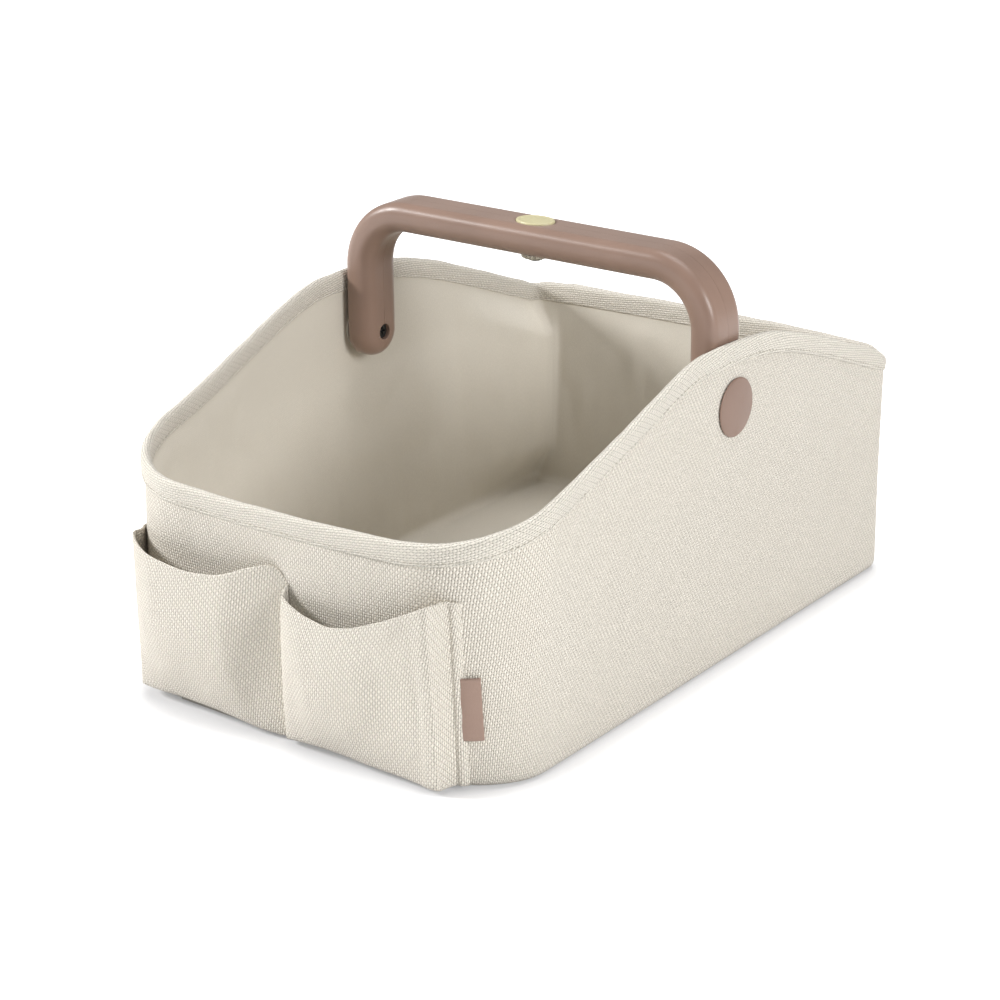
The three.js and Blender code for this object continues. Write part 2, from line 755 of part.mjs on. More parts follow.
// Room for the two cells, which the ribs of the shells and of the door are cut by
function cellRoom() {
  const room = (aside) => rod('x', batteryRadius + seatGap, -bayOuterEnd, -bayInnerEnd,
    0, aside, crossbarMiddle, cellSides);
  return room(-batterySpacing / 2).add(room(batterySpacing / 2));
}

// Two end walls of the battery bay, open to the leads above, and two saddles over the cells
function shellRibs() {
  const high = handleTopRise - handleWall / 2;
  const across = (x, low) => box(x, x + ribThickness, -shellReach, shellReach, low, high);
  const saddles = ribPlaces.map((x) => across(x, crossbarMiddle)).reduce((all, one) => all.add(one));
  const notch = box(-bayInnerEnd - overrun, -bayInnerEnd + overrun, -shellReach, shellReach,
    crossbarMiddle + leadRise - leadNotchHeight / 2, crossbarMiddle + leadRise + leadNotchHeight / 2);
  return across(-bayOuterEnd - ribThickness, doorSeat + seatGap)
    .add(across(-bayInnerEnd, doorSeat + seatGap).subtract(notch))
    .add(saddles.subtract(cellRoom()));
}

function makeHandle() {
  const hubTop = gripDepth / 2 + handleWall;
  const cavity = handleBar(handleWall, hubTop);
  const skin = handleBar(0, -gripDepth / 2).intersect(legEndForm());
  let shell = skin.subtract(cavity);
  const bosses = shellScrews.map(([x, z]) => rod('y', shellBossRadius, -gripDepth / 2 + handleWall / 2,
    gripDepth / 2 - handleWall / 2, x, 0, z, smallSides));
  const doorBoss = rod('z', doorBossRadius, doorSeat + seatGap, handleTopRise - handleWall / 2,
    doorScrewX, doorScrewAside, 0, smallSides);
  for (const inner of [...bosses, doorBoss, shellRibs().intersect(skin)]) shell = shell.add(inner);
  const under = handleTopRise - gripHeight;
  const cuts = [
    ovalPrism(buttonLength, buttonDepth, handleTopRise - 2 * handleWall, handleTopRise + overrun, -seatGap),
    rod('z', lampRadius + seatGap, under - overrun, doorSeat + handleWall, 0, 0, 0, roundSides),
    box(doorEnds[0], doorEnds[1], -doorHalfDepth, doorHalfDepth, under - overrun, doorSeat + handleWall),
    rod('z', doorScrewRadius + seatGap, under, under + doorScrewLength + seatGap,
      doorScrewX, doorScrewAside, 0),
  ];
  for (const [x, z] of shellScrews) {
    const shankEnd = headSeat - shellScrewLength;
    cuts.push(rod('y', shellShankRadius + seatGap, shankEnd - seatGap, gripDepth, x, 0, z, smallSides));
    cuts.push(rod('y', shellHeadRadius + seatGap, headSeat - seatGap, gripDepth, x, 0, z, smallSides));
  }
  for (const side of [-1, 1]) {
    const bore = handleWidth / 2 - postDepthInLeg - seatGap;
    const recess = bore - pivotWebThickness;
    const along = (from, to, radius) => rod('x', radius, Math.min(side * from, side * to),
      Math.max(side * from, side * to), 0, 0, 0, roundSides);
    cuts.push(along(bore, handleWidth, postRadius + seatGap));
    cuts.push(along(0, recess, pivotHeadRadius + seatGap));
    cuts.push(along(recess - overrun, bore + overrun, screwShankRadius + seatGap));
  }
  for (const cut of cuts) shell = shell.subtract(cut);
  const part = (y0, y1) => box(-handleWidth, handleWidth, y0, y1, -handleTopRise, 2 * handleTopRise);
  addPiece('handle_front_shell', shell.intersect(part(-gripDepth, -seatGap / 2)), mochaPlastic, handle);
  addPiece('handle_rear_shell', shell.intersect(part(seatGap / 2, gripDepth)), mochaPlastic, handle);
  makeDoor(skin, cavity);
}

function makeDoor(skin, cavity) {
  const low = doorSeat - handleWall - overrun;
  const panelBox = box(doorEnds[0] + seatGap, doorEnds[1] - seatGap, seatGap - doorHalfDepth,
    doorHalfDepth - seatGap, low, doorSeat + handleWall - seatGap);
  const head = rod('z', doorHeadRadius + seatGap, low, doorSeat - handleWall + doorHeadThickness + seatGap,
    doorScrewX, doorScrewAside, 0);
  const hole = rod('z', doorScrewRadius + seatGap, low, doorSeat + overrun, doorScrewX, doorScrewAside, 0);
  const ribs = ribPlaces.map((x) => box(x, x + ribThickness, seatGap - doorHalfDepth, doorHalfDepth - seatGap,
    doorSeat - handleWall / 2, crossbarMiddle - cavityHalfHeight / 2)).reduce((all, one) => all.add(one));
  const panel = skin.intersect(panelBox).subtract(cavity).add(ribs.subtract(cellRoom()).intersect(skin));
  addPiece('battery_door', panel.subtract(head).subtract(hole), mochaPlastic, handle);
  const face = doorSeat - handleWall;
  const seat = face + doorHeadThickness;
  addPiece('door_screw', turned([[0, face], [doorHeadRadius, face], [doorHeadRadius, seat],
    [doorScrewRadius, seat], [doorScrewRadius, face + doorScrewLength], [0, face + doorScrewLength]],
  'z', doorScrewX, doorScrewAside, 0, smallSides), darkSteel, handle);
  shellScrews.forEach(([x, z], k) => {
    const end = headSeat - shellScrewLength + seatGap;
    addPiece(`shell_screw_${k + 1}`, turned([[0, end], [shellShankRadius, end], [shellShankRadius, headSeat],
      [shellHeadRadius, headSeat], [shellHeadRadius, headSeat + shellHeadThickness],
      [0, headSeat + shellHeadThickness]], 'y', x, 0, z, smallSides), darkSteel, handle);
  });
}

// Two cells side by side, head to tail, between a bridge and two end contacts
function makeBattery() {
  const near = -bayInnerEnd - seatGap;
  const far = -bayOuterEnd + seatGap;
  const cellFrom = far + contactThickness + contactDimple + seatGap;
  const cell = (name, aside, flip) => {
    const total = batteryLength + batteryNubLength;
    const lay = (from) => (flip ? cellFrom + total - from : cellFrom + from);
    const profile = [[0, 0], [batteryRadius, 0], [batteryRadius, batteryLength],
      [batteryNubRadius, batteryLength], [batteryNubRadius, total], [0, total]];
    const points = profile.map(([radius, along]) => [radius, lay(along)]);
    addPiece(name, turned(points, 'x', 0, aside, crossbarMiddle, cellSides), batteryWrap, handle);
  };
  cell('front_battery', -batterySpacing / 2, false);
  cell('rear_battery', batterySpacing / 2, true);
  const dimple = (x, inward, aside) => turned([[0, 0], [contactDimple * 2, 0], [contactDimple, contactDimple],
    [0, contactDimple]].map(([radius, along]) => [radius, x + inward * along]), 'x', 0, aside, crossbarMiddle,
  smallSides);
  const low = crossbarMiddle - contactHeight / 2;
  const high = crossbarMiddle + contactHeight / 2;
  const plate = (x0, y0, y1) => box(x0, x0 + contactThickness, y0, y1, low, high);
  const wide = batterySpacing / 2 + contactWidth / 2;
  const bridge = plate(far, -wide, wide)
    .add(dimple(far + contactThickness / 2, 1, -batterySpacing / 2))
    .add(dimple(far + contactThickness / 2, 1, batterySpacing / 2));
  addPiece('contact_bridge', bridge, brightSteel, handle);
  const ends = [['contact_front', -batterySpacing / 2], ['contact_rear', batterySpacing / 2]];
  for (const [name, aside] of ends) {
    const one = plate(near - contactThickness, aside - contactWidth / 2, aside + contactWidth / 2)
      .add(dimple(near - contactThickness / 2, -1, aside));
    addPiece(name, one, brightSteel, handle);
  }
}

// A lead runs from a battery contact over the screw boss to the circuit board
function makeLead(name, aside, material) {
  const above = circuitTop + seatGap + leadRadius;
  const height = crossbarMiddle + leadRise;
  const start = -bayInnerEnd;
  const boardEdge = -boardLength / 2;
  const path = new THREE.CatmullRomCurve3([
    new THREE.Vector3(start, aside, height - leadRadius),
    new THREE.Vector3(start + ribThickness, aside, height),
    new THREE.Vector3(-shellScrewPlace, aside, height),
    new THREE.Vector3(boardEdge - leadRadius, aside, height - leadRadius),
    new THREE.Vector3(boardEdge + leadRadius, aside, above + leadRadius),
    new THREE.Vector3(boardEdge + leadOverBoard, aside, above)]);
  const outline = new THREE.Shape();
  outline.absarc(0, 0, leadRadius, 0, 2 * Math.PI, false);
  const geometry = new THREE.ExtrudeGeometry(outline,
    { steps: leadSteps, curveSegments: leadSides, extrudePath: path });
  addPiece(name, solid(geometry), material, handle);
}

// Circuit board with the lamp below it and the switch above it, under the button
const circuitTop = crossbarMiddle - circuitDrop;
const switchTop = circuitTop + seatGap + switchHeight;

function makeLight() {
  const boardSide = gripDepth / 2 - handleWall - seatGap;
  addPiece('light_board', box(-boardLength / 2, boardLength / 2, -boardSide, boardSide,
    circuitTop - circuitThickness, circuitTop), circuitGreen, handle);
  const ledTop = circuitTop - circuitThickness - seatGap;
  addPiece('led', turned([[0, ledTop - ledHeight], [ledRadius / 2, ledTop - ledHeight],
    [ledRadius, ledTop - ledHeight / 2], [ledRadius, ledTop], [0, ledTop]], 'z', 0, 0, 0, smallSides),
  ledYellow, handle);
  const face = handleTopRise - gripHeight;
  const flangeFrom = doorSeat + seatGap;
  const flangeTo = flangeFrom + lampFlangeThickness;
  const low = face - lampProud;
  const dome = lampFaceShares.map(([out, up]) => [lampRadius * out, low + lampProud * up]);
  addPiece('lamp_lens', turned([[0, low], ...dome, [lampRadius, flangeFrom],
    [lampRadius + lampFlange, flangeFrom], [lampRadius + lampFlange, flangeTo], [0, flangeTo]],
  'z', 0, 0, 0), clearPlastic, handle);
  const inner = lampRadius + seatGap;
  addPiece('lamp_bezel', ring('z', inner, inner + bezelWidth, face - seatGap - bezelProud, face - seatGap,
    0, 0, 0), brightSteel, handle);
  const half = switchSide / 2;
  const well = rod('z', plungerRadius + seatGap, circuitTop + 2 * seatGap, switchTop + overrun, 0, 0, 0);
  addPiece('switch_body', box(-half, half, -half, half, circuitTop + seatGap, switchTop).subtract(well),
    blackPlastic, handle);
}

const button = new THREE.Group();
handle.add(button);

function makeButton() {
  const flangeTop = handleTopRise - handleWall - buttonPlay;
  const edgeTop = handleTopRise + buttonProud - buttonEdgeDrop;
  const plungerTop = switchTop + plungerRise;
  const layer = (rise, inset) => ovalPrism(buttonLength, buttonDepth,
    edgeTop - buttonEdgeDrop, edgeTop + rise, inset);
  const cap = ovalPrism(buttonLength, buttonDepth, flangeTop - buttonFlangeThickness, edgeTop)
    .add(layer(buttonEdgeDrop / 2, buttonEdgeDrop / 2))
    .add(layer(buttonEdgeDrop, 2 * buttonEdgeDrop))
    .add(ovalPrism(buttonLength + 2 * buttonFlange, buttonDepth + 2 * buttonSideFlange,
      flangeTop - buttonFlangeThickness, flangeTop));
  const stem = rod('z', buttonStemRadius, plungerTop + seatGap, flangeTop, 0, 0, 0);
  addPiece('light_button', cap.add(stem), glowPlastic, button);
  addPiece('switch_plunger', rod('z', plungerRadius, switchTop - plungerSunk, plungerTop, 0, 0, 0),
    paleNylon, button);
}

makeBody();
addPiece('left_pocket', makePocket(pocketMiddleSeam - pocketSeamSpace / 2, pocketLeftSeam,
  leftMouthMiddle, leftMouthOuter, leftMouthSag), canvas);
addPiece('right_pocket', makePocket(pocketMiddleSeam + pocketSeamSpace / 2, pocketRightSeam,
  rightMouthMiddle, rightMouthOuter, rightMouthSag), canvas);
addPiece('side_tab', makeTab(), mochaTab);
makePivot('left', -1);
makePivot('right', 1);
makeHandle();
makeBattery();
makeLight();
makeLead('front_lead', -leadAside, redSleeve);
makeLead('rear_lead', leadAside, blackSleeve);
makeButton();

// The origin is the middle of the whole caddy's box, on the surface that it stands on
const extent = new THREE.Box3().setFromObject(caddy);
caddy.position.y = -(extent.min.y + extent.max.y) / 2;

export default caddy;
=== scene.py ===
import json
from math import sin, cos, radians, pi

import bmesh
import bpy
import numpy as np
from mathutils import Matrix, Vector, noise

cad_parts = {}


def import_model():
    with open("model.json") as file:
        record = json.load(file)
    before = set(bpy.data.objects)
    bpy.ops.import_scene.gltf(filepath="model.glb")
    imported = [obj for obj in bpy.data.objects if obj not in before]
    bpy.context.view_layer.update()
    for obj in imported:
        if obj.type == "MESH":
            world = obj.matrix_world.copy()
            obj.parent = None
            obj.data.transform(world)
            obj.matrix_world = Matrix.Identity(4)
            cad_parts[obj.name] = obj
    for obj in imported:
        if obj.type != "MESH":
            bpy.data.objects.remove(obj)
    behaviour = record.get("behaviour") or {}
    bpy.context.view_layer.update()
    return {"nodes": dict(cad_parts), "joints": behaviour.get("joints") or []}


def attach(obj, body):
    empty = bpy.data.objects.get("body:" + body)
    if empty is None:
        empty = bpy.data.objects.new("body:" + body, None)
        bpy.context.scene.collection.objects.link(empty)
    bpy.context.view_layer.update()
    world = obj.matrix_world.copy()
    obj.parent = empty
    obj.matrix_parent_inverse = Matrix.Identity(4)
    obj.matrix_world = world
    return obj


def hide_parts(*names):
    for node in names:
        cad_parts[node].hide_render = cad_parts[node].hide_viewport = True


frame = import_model()

MM = 0.001
PIVOT_Y, PIVOT_Z = 25.5, 135.5
SHIFT = frame["joints"][0]["pos_m"][1] / MM - PIVOT_Y


def linked(name, data):
    """An object in the scene that shows the data."""
    ob = bpy.data.objects.new(name, data)
    bpy.context.scene.collection.objects.link(ob)
    return ob


# -------- camera, as in the photograph
AIM_AZ, AIM_EL, ROLL = radians(36.11), radians(20.67), radians(-0.40)
TARGET, DISTANCE = np.array([-1.99, -3.27 + SHIFT, 70.52]), 1425.5
FOCAL_PIXELS, PHOTO_PIXELS, SENSOR = 2816.58, 1000, 36


def photo_camera():
    back = np.array([sin(AIM_AZ) * cos(AIM_EL), -cos(AIM_AZ) * cos(AIM_EL), sin(AIM_EL)])
    level = np.array([cos(AIM_AZ), sin(AIM_AZ), 0.0])
    upright = np.cross(back, level)
    right = level * cos(ROLL) + upright * sin(ROLL)
    up = upright * cos(ROLL) - level * sin(ROLL)
    data = bpy.data.cameras.new("photo_camera")
    data.sensor_width = SENSOR
    data.lens = FOCAL_PIXELS * SENSOR / PHOTO_PIXELS
    data.clip_start, data.clip_end = 0.05, 60
    camera = linked("photo_camera", data)
    where = (TARGET + back * DISTANCE) * MM
    columns = [(*axis, 0) for axis in (right, up, back)] + [(*where, 1)]
    camera.matrix_world = Matrix(columns).transposed()
    bpy.context.scene.camera = camera


photo_camera()
bpy.context.scene.view_settings.view_transform = "Standard"


# -------- material helper
class Paint:
    """A node material around one Principled shader, with short calls for the nodes."""

    def __init__(self, name, rough=0.6, **constants):
        self.material = bpy.data.materials.new(name)
        self.material.use_nodes = True
        self.tree = self.material.node_tree
        self.shader = self.tree.nodes["Principled BSDF"]
        self.shader.inputs["Roughness"].default_value = rough
        for key, value in constants.items():
            self.shader.inputs[key.replace("_", " ")].default_value = value

    def put(self, socket, value):
        if isinstance(value, bpy.types.NodeSocket):
            self.tree.links.new(value, socket)
        elif isinstance(value, (tuple, list)) and len(value) == 3 and socket.type == "RGBA":
            socket.default_value = (*value, 1)
        else:
            socket.default_value = value

    def node(self, kind, out=0, inputs=(), **settings):
        one = self.tree.nodes.new("ShaderNode" + kind)
        for key, value in settings.items():
            setattr(one, key, value)
        for key, value in dict(inputs).items():
            self.put(one.inputs[key], value)
        return one.outputs[out]

    def math(self, operation, *values):
        return self.node("Math", operation=operation, inputs=enumerate(values))

    def mix(self, share, a, b):
        return self.node("Mix", out=2, data_type="RGBA", inputs={0: share, 6: a, 7: b})

    def step(self, value, low, high, a=0.0, b=1.0):
        return self.node("MapRange", interpolation_type="SMOOTHSTEP",
                         inputs={0: value, 1: low, 2: high, 3: a, 4: b})

    def uv(self):
        parts = self.node("SeparateXYZ", inputs={0: self.node("UVMap", uv_map="UVMap")}).node
        return parts.outputs[0], parts.outputs[1]

    def object_place(self):
        return self.node("TexCoord", "Object")

    def noise(self, vector, scale=1.0, detail=2.0, rough=0.5):
        return self.node("TexNoise", inputs={"Vector": vector, "Scale": scale, "Detail": detail,
                                             "Roughness": rough})

    def bump(self, height, distance, strength):
        return self.node("Bump", inputs={"Height": height, "Distance": distance,
                                         "Strength": strength})

    def done(self, colour=None, rough=None, normal=None):
        for key, value in (("Base Color", colour), ("Roughness", rough), ("Normal", normal)):
            if value is not None:
                self.put(self.shader.inputs[key], value)
        return self.material


def rgb(r, g, b):
    """A colour written as it shows on screen, 11 to 255 for each part, made linear."""
    return tuple(((c / 255 + 0.055) / 1.055) ** 2.4 for c in (r, g, b))


def shaded(colour, factor):
    return tuple(c * factor for c in colour)


GRAIN = 0.06 * MM


def moulded(name, colour, rough, sheen=0.0):
    """Moulded plastic: fine spark-eroded grain, slow tone drift and faint rubbed patches."""
    p = Paint(name, rough, Specular_IOR_Level=0.5, Sheen_Weight=sheen, Sheen_Roughness=0.35)
    where = p.object_place()
    slow = p.noise(where, 28.0, 3.0)
    fine = p.noise(where, 2600.0, 3.0, 0.65)
    tone = p.mix(p.step(slow, 0.3, 0.7), shaded(colour, 0.94), shaded(colour, 1.05))
    speck = p.mix(p.step(fine, 0.35, 0.75, 0.0, 0.12), tone, shaded(colour, 0.8))
    worn = p.step(p.noise(where, 90.0, 4.0, 0.7), 0.45, 0.8, rough - 0.05, rough + 0.08)
    return p.done(speck, worn, p.bump(fine, GRAIN, 0.6))


def speckled(name, low, high, scale, rough, detail=2.0, **constants):
    """Metal or glass with a fine drift between two colours."""
    p = Paint(name, rough, **constants)
    return p.done(p.mix(p.noise(p.object_place(), scale, detail), low, high))


# -------- floor, world and lamps
FLOOR_HALF = 10
CONTACT_REACH = 0.03
WORLD_LIGHT = 0.24


def floor():
    """A pale floor with a painted contact shadow, darker where the object touches it, that glows for
    camera rays, more so far away.
    """
    mesh = bpy.data.meshes.new("floor")
    corners = [(-FLOOR_HALF, -FLOOR_HALF, 0), (FLOOR_HALF, -FLOOR_HALF, 0),
               (FLOOR_HALF, FLOOR_HALF, 0), (-FLOOR_HALF, FLOOR_HALF, 0)]
    mesh.from_pydata(corners, [], [(0, 1, 2, 3)])
    p = Paint("floor_paint", 0.9, Specular_IOR_Level=0.1)
    where = p.object_place()
    tone = p.mix(p.step(p.noise(where, 0.7, 2.0), 0.3, 0.7), rgb(244, 244, 244), rgb(248, 248, 248))
    # Painted shadow: near the object the floor's colour turns grey and its glow dims, in reflections
    # too.
    open_share = p.node("AmbientOcclusion", "AO", {"Distance": CONTACT_REACH}, samples=12)
    out_of_painted_shadow = p.step(open_share, 0.45, 0.98)
    p.done(p.mix(out_of_painted_shadow, rgb(208, 208, 210), tone))
    rays = p.tree.nodes.new("ShaderNodeLightPath").outputs
    seen = p.math("MAXIMUM", rays["Is Camera Ray"], rays["Is Transmission Ray"])
    away = p.node("VectorMath", "Value", {0: where}, operation="LENGTH")
    away = p.step(away, 0.8, 4.0, 0.25, 0.8)
    seen = p.math("MULTIPLY", seen, p.math("MULTIPLY_ADD", out_of_painted_shadow, 0.3, away))
    mirrored = p.math("MULTIPLY", rays["Is Glossy Ray"], p.math("MULTIPLY", out_of_painted_shadow, 0.5))
    glow = p.node("Emission", inputs={"Strength": p.math("ADD", seen, mirrored)})
    both = p.node("AddShader", inputs={0: p.shader.outputs[0], 1: glow})
    p.put(p.tree.nodes["Material Output"].inputs["Surface"], both)
    mesh.materials.append(p.material)
    linked("floor", mesh)


def lamp(name, place, size, power):
    data = bpy.data.lights.new(name, "AREA")
    data.shape = "DISK"
    data.size, data.energy = size, power
    ob = linked(name, data)
    ob.location = place
    aim = Vector((0, 0, 0.08)) - Vector(place)
    ob.rotation_euler = aim.to_track_quat("-Z", "Y").to_euler()


def world():
    """Soft even light, which camera and transmission rays see as white."""
    one = bpy.data.worlds.new("studio")
    bpy.context.scene.world = one
    one.use_nodes = True
    tree = one.node_tree
    tree.nodes.clear()
    rays = tree.nodes.new("ShaderNodeLightPath")
    seen = tree.nodes.new("ShaderNodeMath")
    seen.operation = "MAXIMUM"
    tree.links.new(rays.outputs["Is Camera Ray"], seen.inputs[0])
    tree.links.new(rays.outputs["Is Transmission Ray"], seen.inputs[1])
    choose = tree.nodes.new("ShaderNodeMixShader")
    tree.links.new(seen.outputs[0], choose.inputs[0])
    for place, strength in ((1, WORLD_LIGHT), (2, 1.0)):
        light = tree.nodes.new("ShaderNodeBackground")
        light.inputs["Color"].default_value = (1, 1, 1, 1)
        light.inputs["Strength"].default_value = strength
        tree.links.new(light.outputs[0], choose.inputs[place])
    out = tree.nodes.new("ShaderNodeOutputWorld")
    tree.links.new(choose.outputs[0], out.inputs["Surface"])


world()
floor()
lamp("key", (-2.47, -1.5, 1.61), 0.8, 99)
lamp("side", (2.8, -0.35, 1.3), 1.0, 52)
lamp("top", (0.1, 0.5, 2.6), 1.8, 30)

# -------- materials
mocha = moulded("mocha_plastic_paint", rgb(147, 121, 107), 0.38, sheen=0.18)
# The caps are the handle's mocha plastic in a darker copy: painted shade against the extra light the
# side lamp throws on them.
mocha_painted_shade_cap = moulded("mocha_painted_shade_cap_paint", rgb(139, 113, 99), 0.46)
button_paint = moulded("button_paint", rgb(208, 200, 160), 0.36)
dark_metal = speckled("dark_screw_paint", rgb(58, 60, 60), rgb(86, 88, 87), 900.0, 0.42, 3.0,
                      Metallic=0.9)
nickel = speckled("nickel_paint", rgb(188, 186, 180), rgb(214, 212, 206), 700.0, 0.22, Metallic=1.0)
lens = speckled("clear_lens_paint", rgb(238, 240, 238), rgb(248, 249, 247), 400.0, 0.06,
                Transmission_Weight=0.9, IOR=1.46)
by_slot = {
    "mocha_plastic": mocha, "mocha_tab": mocha, "dark_screw": dark_metal, "nickel": nickel,
    "pale_nylon": moulded("pale_nylon_paint", rgb(222, 219, 210), 0.5),
    "button_plastic": button_paint,
    "circuit": moulded("circuit_paint", rgb(48, 92, 66), 0.4),
    "black_plastic": moulded("black_plastic_paint", rgb(38, 38, 40), 0.45), "clear_lens": lens,
    "led_body": moulded("led_paint", rgb(236, 226, 168), 0.25),
    "cell_wrap": moulded("cell_wrap_paint", rgb(70, 92, 128), 0.3),
    "red_sleeve": moulded("red_sleeve_paint", rgb(166, 44, 40), 0.45),
    "black_sleeve": moulded("black_sleeve_paint", rgb(34, 34, 36), 0.45),
    "stiffener": moulded("stiffener_paint", rgb(176, 172, 164), 0.7),
    "canvas": moulded("canvas_plain_paint", rgb(228, 221, 208), 0.8),
    "lining_cloth": moulded("lining_plain_paint", rgb(176, 169, 158), 0.8)}
for name, ob in frame["nodes"].items():
    slot_name = next((s.material.name for s in ob.material_slots if s.material), "")
    for key, material in by_slot.items():
        if key in slot_name:
            for s in ob.material_slots:
                s.material = material
            break
    else:
        print("no material for", name, slot_name)


# -------- the fabric body, as in the CAD source
BODY_WIDTH, FRONT_FOOT, REAR_FOOT, FRONT_LEAN, REAR_LEAN = 230, 166, 185, 10, 2.6
FRONT_FOOT_RADIUS, FRONT_RIM_RADIUS, REAR_RADIUS = 38.5, 55, 9
FRONT_BOW, REAR_BOW, RIM_FRONT, RIM_REAR = 2.4, 6, 118.5, 123
RISE_START, RISE_HEIGHT, RISE_REACH, RISE_END = 64, 114.4, 106, 34
HUMP, HUMP_FRONT, HUMP_REAR = 168.4, PIVOT_Y - 29, PIVOT_Y - 11.5
FALL_REACH, FALL_END_REACH, FALL_END_RISE, FALL_END = 52, 89, 34, 6
SWELL, SWELL_REACH, SWELL_FADE, SWELL_TOP = 2.75, 60, 90, 121.75
WALL_STACK, BAND_DEPTH = 3.5, 10.5

# Cloth forms that the CAD leaves out: the band's dip at the rear corners and the wall's round foot
CORNER_DIPS, DIP_REACH = ((-1, 1.2), (1, 5.5)), 6.0
FOOT_ROUND, FOOT_MORE_REAR, FOOT_MORE_FRONT = 4.0, 0.5, 2.2

# Stations round the plan
FRONT_STEPS, CORNER_STEPS, SIDE_STEPS, REAR_CORNER_STEPS, REAR_STEPS = 60, 40, 130, 12, 80
LEVEL_LINE = 60.0


def smooth(value, low, high):
    share = np.clip((np.asarray(value, float) - low) / (high - low), 0, 1)
    return share * share * (3 - 2 * share)


def bezier(points, steps=96):
    t = np.linspace(0, 1, steps)[:, None]
    a, b, c, d = [np.array(p, float) for p in points]
    return (1 - t) ** 3 * a + 3 * t * (1 - t) ** 2 * b + 3 * t * t * (1 - t) * c + t ** 3 * d


def rim_line():
    start, end = -FRONT_FOOT - RISE_START, REAR_FOOT - FALL_END
    rise = bezier([(start, RISE_HEIGHT), (start + RISE_REACH, RISE_HEIGHT),
                   (HUMP_FRONT - RISE_END, HUMP), (HUMP_FRONT, HUMP)])
    fall = bezier([(HUMP_REAR, HUMP), (HUMP_REAR + FALL_REACH, HUMP),
                   (end - FALL_END_REACH, RIM_REAR + FALL_END_RISE), (end, RIM_REAR)])
    return np.vstack([rise, fall])


RIM_LINE = rim_line()


def run(points, axis=0):
    """How far each point lies along its line of points, from 0."""
    first = np.take(points, [0], axis)
    steps = np.linalg.norm(np.diff(points, axis=axis, prepend=first), axis=-1)
    return np.cumsum(steps, axis=axis)


class Ring:
    """Stations round the plan, anticlockwise from the left end of the front edge."""

    def __init__(self):
        def half(side):
            one = [(1, side, k / CORNER_STEPS * pi / 2) for k in range(1, CORNER_STEPS + 1)]
            one += [(2, side, k / SIDE_STEPS) for k in range(1, SIDE_STEPS + 1)]
            one += [(3, side, k / REAR_CORNER_STEPS * pi / 2) for k in range(1, REAR_CORNER_STEPS + 1)]
            return one

        rows = [(0, 0, 2 * k / FRONT_STEPS - 1) for k in range(FRONT_STEPS + 1)] + half(1)
        rows += [(4, 0, 1 - 2 * k / REAR_STEPS) for k in range(1, REAR_STEPS + 1)]
        rows += half(-1)[::-1][1:]
        self.zone, self.side, self.t = (np.array(column, float) for column in zip(*rows))
        self.rim = np.interp(self.wall(RIM_FRONT, 0)[:, 1], RIM_LINE[:, 0], RIM_LINE[:, 1])
        line = self.wall(LEVEL_LINE, 0)
        self.u = run(np.vstack([line, line[:1]]))
        self.dip = np.zeros(len(self.t))
        for side, deep in CORNER_DIPS:
            middle = self.u[:-1][(self.zone == 3) & (self.side == side)].mean()
            self.dip += deep * np.exp(-((self.u[:-1] - middle) / DIP_REACH) ** 2)
        self.foot = (FOOT_ROUND + FOOT_MORE_REAR * smooth(line[:, 1], -60, 150)
                     + FOOT_MORE_FRONT * (1 - smooth(line[:, 1], -162, -130)))

    def wall(self, height, inset):
        """Points of the wall at a height, which is one number or one for each station."""
        height = np.broadcast_to(np.asarray(height, float), self.t.shape)
        inset = np.broadcast_to(np.asarray(inset, float), self.t.shape)
        rise = height / RIM_FRONT
        half, front = BODY_WIDTH / 2 - inset, inset - FRONT_FOOT - FRONT_LEAN * rise
        rear = REAR_FOOT + REAR_LEAN * rise - inset
        fr = FRONT_FOOT_RADIUS + (FRONT_RIM_RADIUS - FRONT_FOOT_RADIUS) * rise - inset
        rr = np.maximum(REAR_RADIUS - inset, 0.5)
        t, side, zones = self.t, self.side, [self.zone == zone for zone in range(5)]
        x = np.select(zones, [
            t * (half - fr), side * (half - fr * (1 - np.sin(t))), side * half,
            side * (half - rr * (1 - np.cos(t))), t * (half - rr)])
        y = np.select(zones, [
            front - FRONT_BOW * (1 - t ** 2), front + fr * (1 - np.cos(t)),
            front + fr + (rear - rr - front - fr) * t, rear - rr * (1 - np.sin(t)),
            rear + REAR_BOW * rise * (1 - t ** 2)])
        share = 1 - smooth(np.abs(y - PIVOT_Y), SWELL_REACH, SWELL_REACH + SWELL_FADE)
        share = share * smooth(height, 0, SWELL_TOP)
        return np.stack([x + side * SWELL * share, y, height + 0 * x], 1)

    def outward(self, height):
        """Level unit vectors that point out of the wall."""
        line = self.wall(height, 0)
        along = np.roll(line, -1, 0) - np.roll(line, 1, 0)
        out = np.stack([along[:, 1], -along[:, 0], 0 * along[:, 0]], 1)
        return out / np.linalg.norm(out, axis=1)[:, None]


def wander(points, scale, seed, depth=2):
    """Seeded smooth noise at each point, about -1 to 1; scale is the size of a lump in mm."""
    shift = Vector((seed * 17.3, seed * 5.1, seed * 9.7))
    flat = points.reshape(-1, 3) / scale
    values = [noise.fractal(Vector(p) + shift, 0.6, 2.0, depth, noise_basis="PERLIN_ORIGINAL")
              for p in flat]
    return np.array(values).reshape(points.shape[:-1])


def make_object(name, vertices, faces, loop_uv, material, body):
    """A mesh object in metres in the shifted frame, from mm in the source's frame."""
    vertices = np.asarray(vertices, float) + [0, SHIFT, 0]
    mesh = bpy.data.meshes.new(name)
    mesh.from_pydata((vertices * MM).tolist(), [], faces)
    layer = mesh.uv_layers.new(name="UVMap")
    layer.data.foreach_set("uv", (np.asarray(loop_uv, float) * MM).ravel())
    mesh.polygons.foreach_set("use_smooth", [True] * len(mesh.polygons))
    mesh.materials.append(material)
    ob = linked(name, mesh)
    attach(ob, body)
    return ob


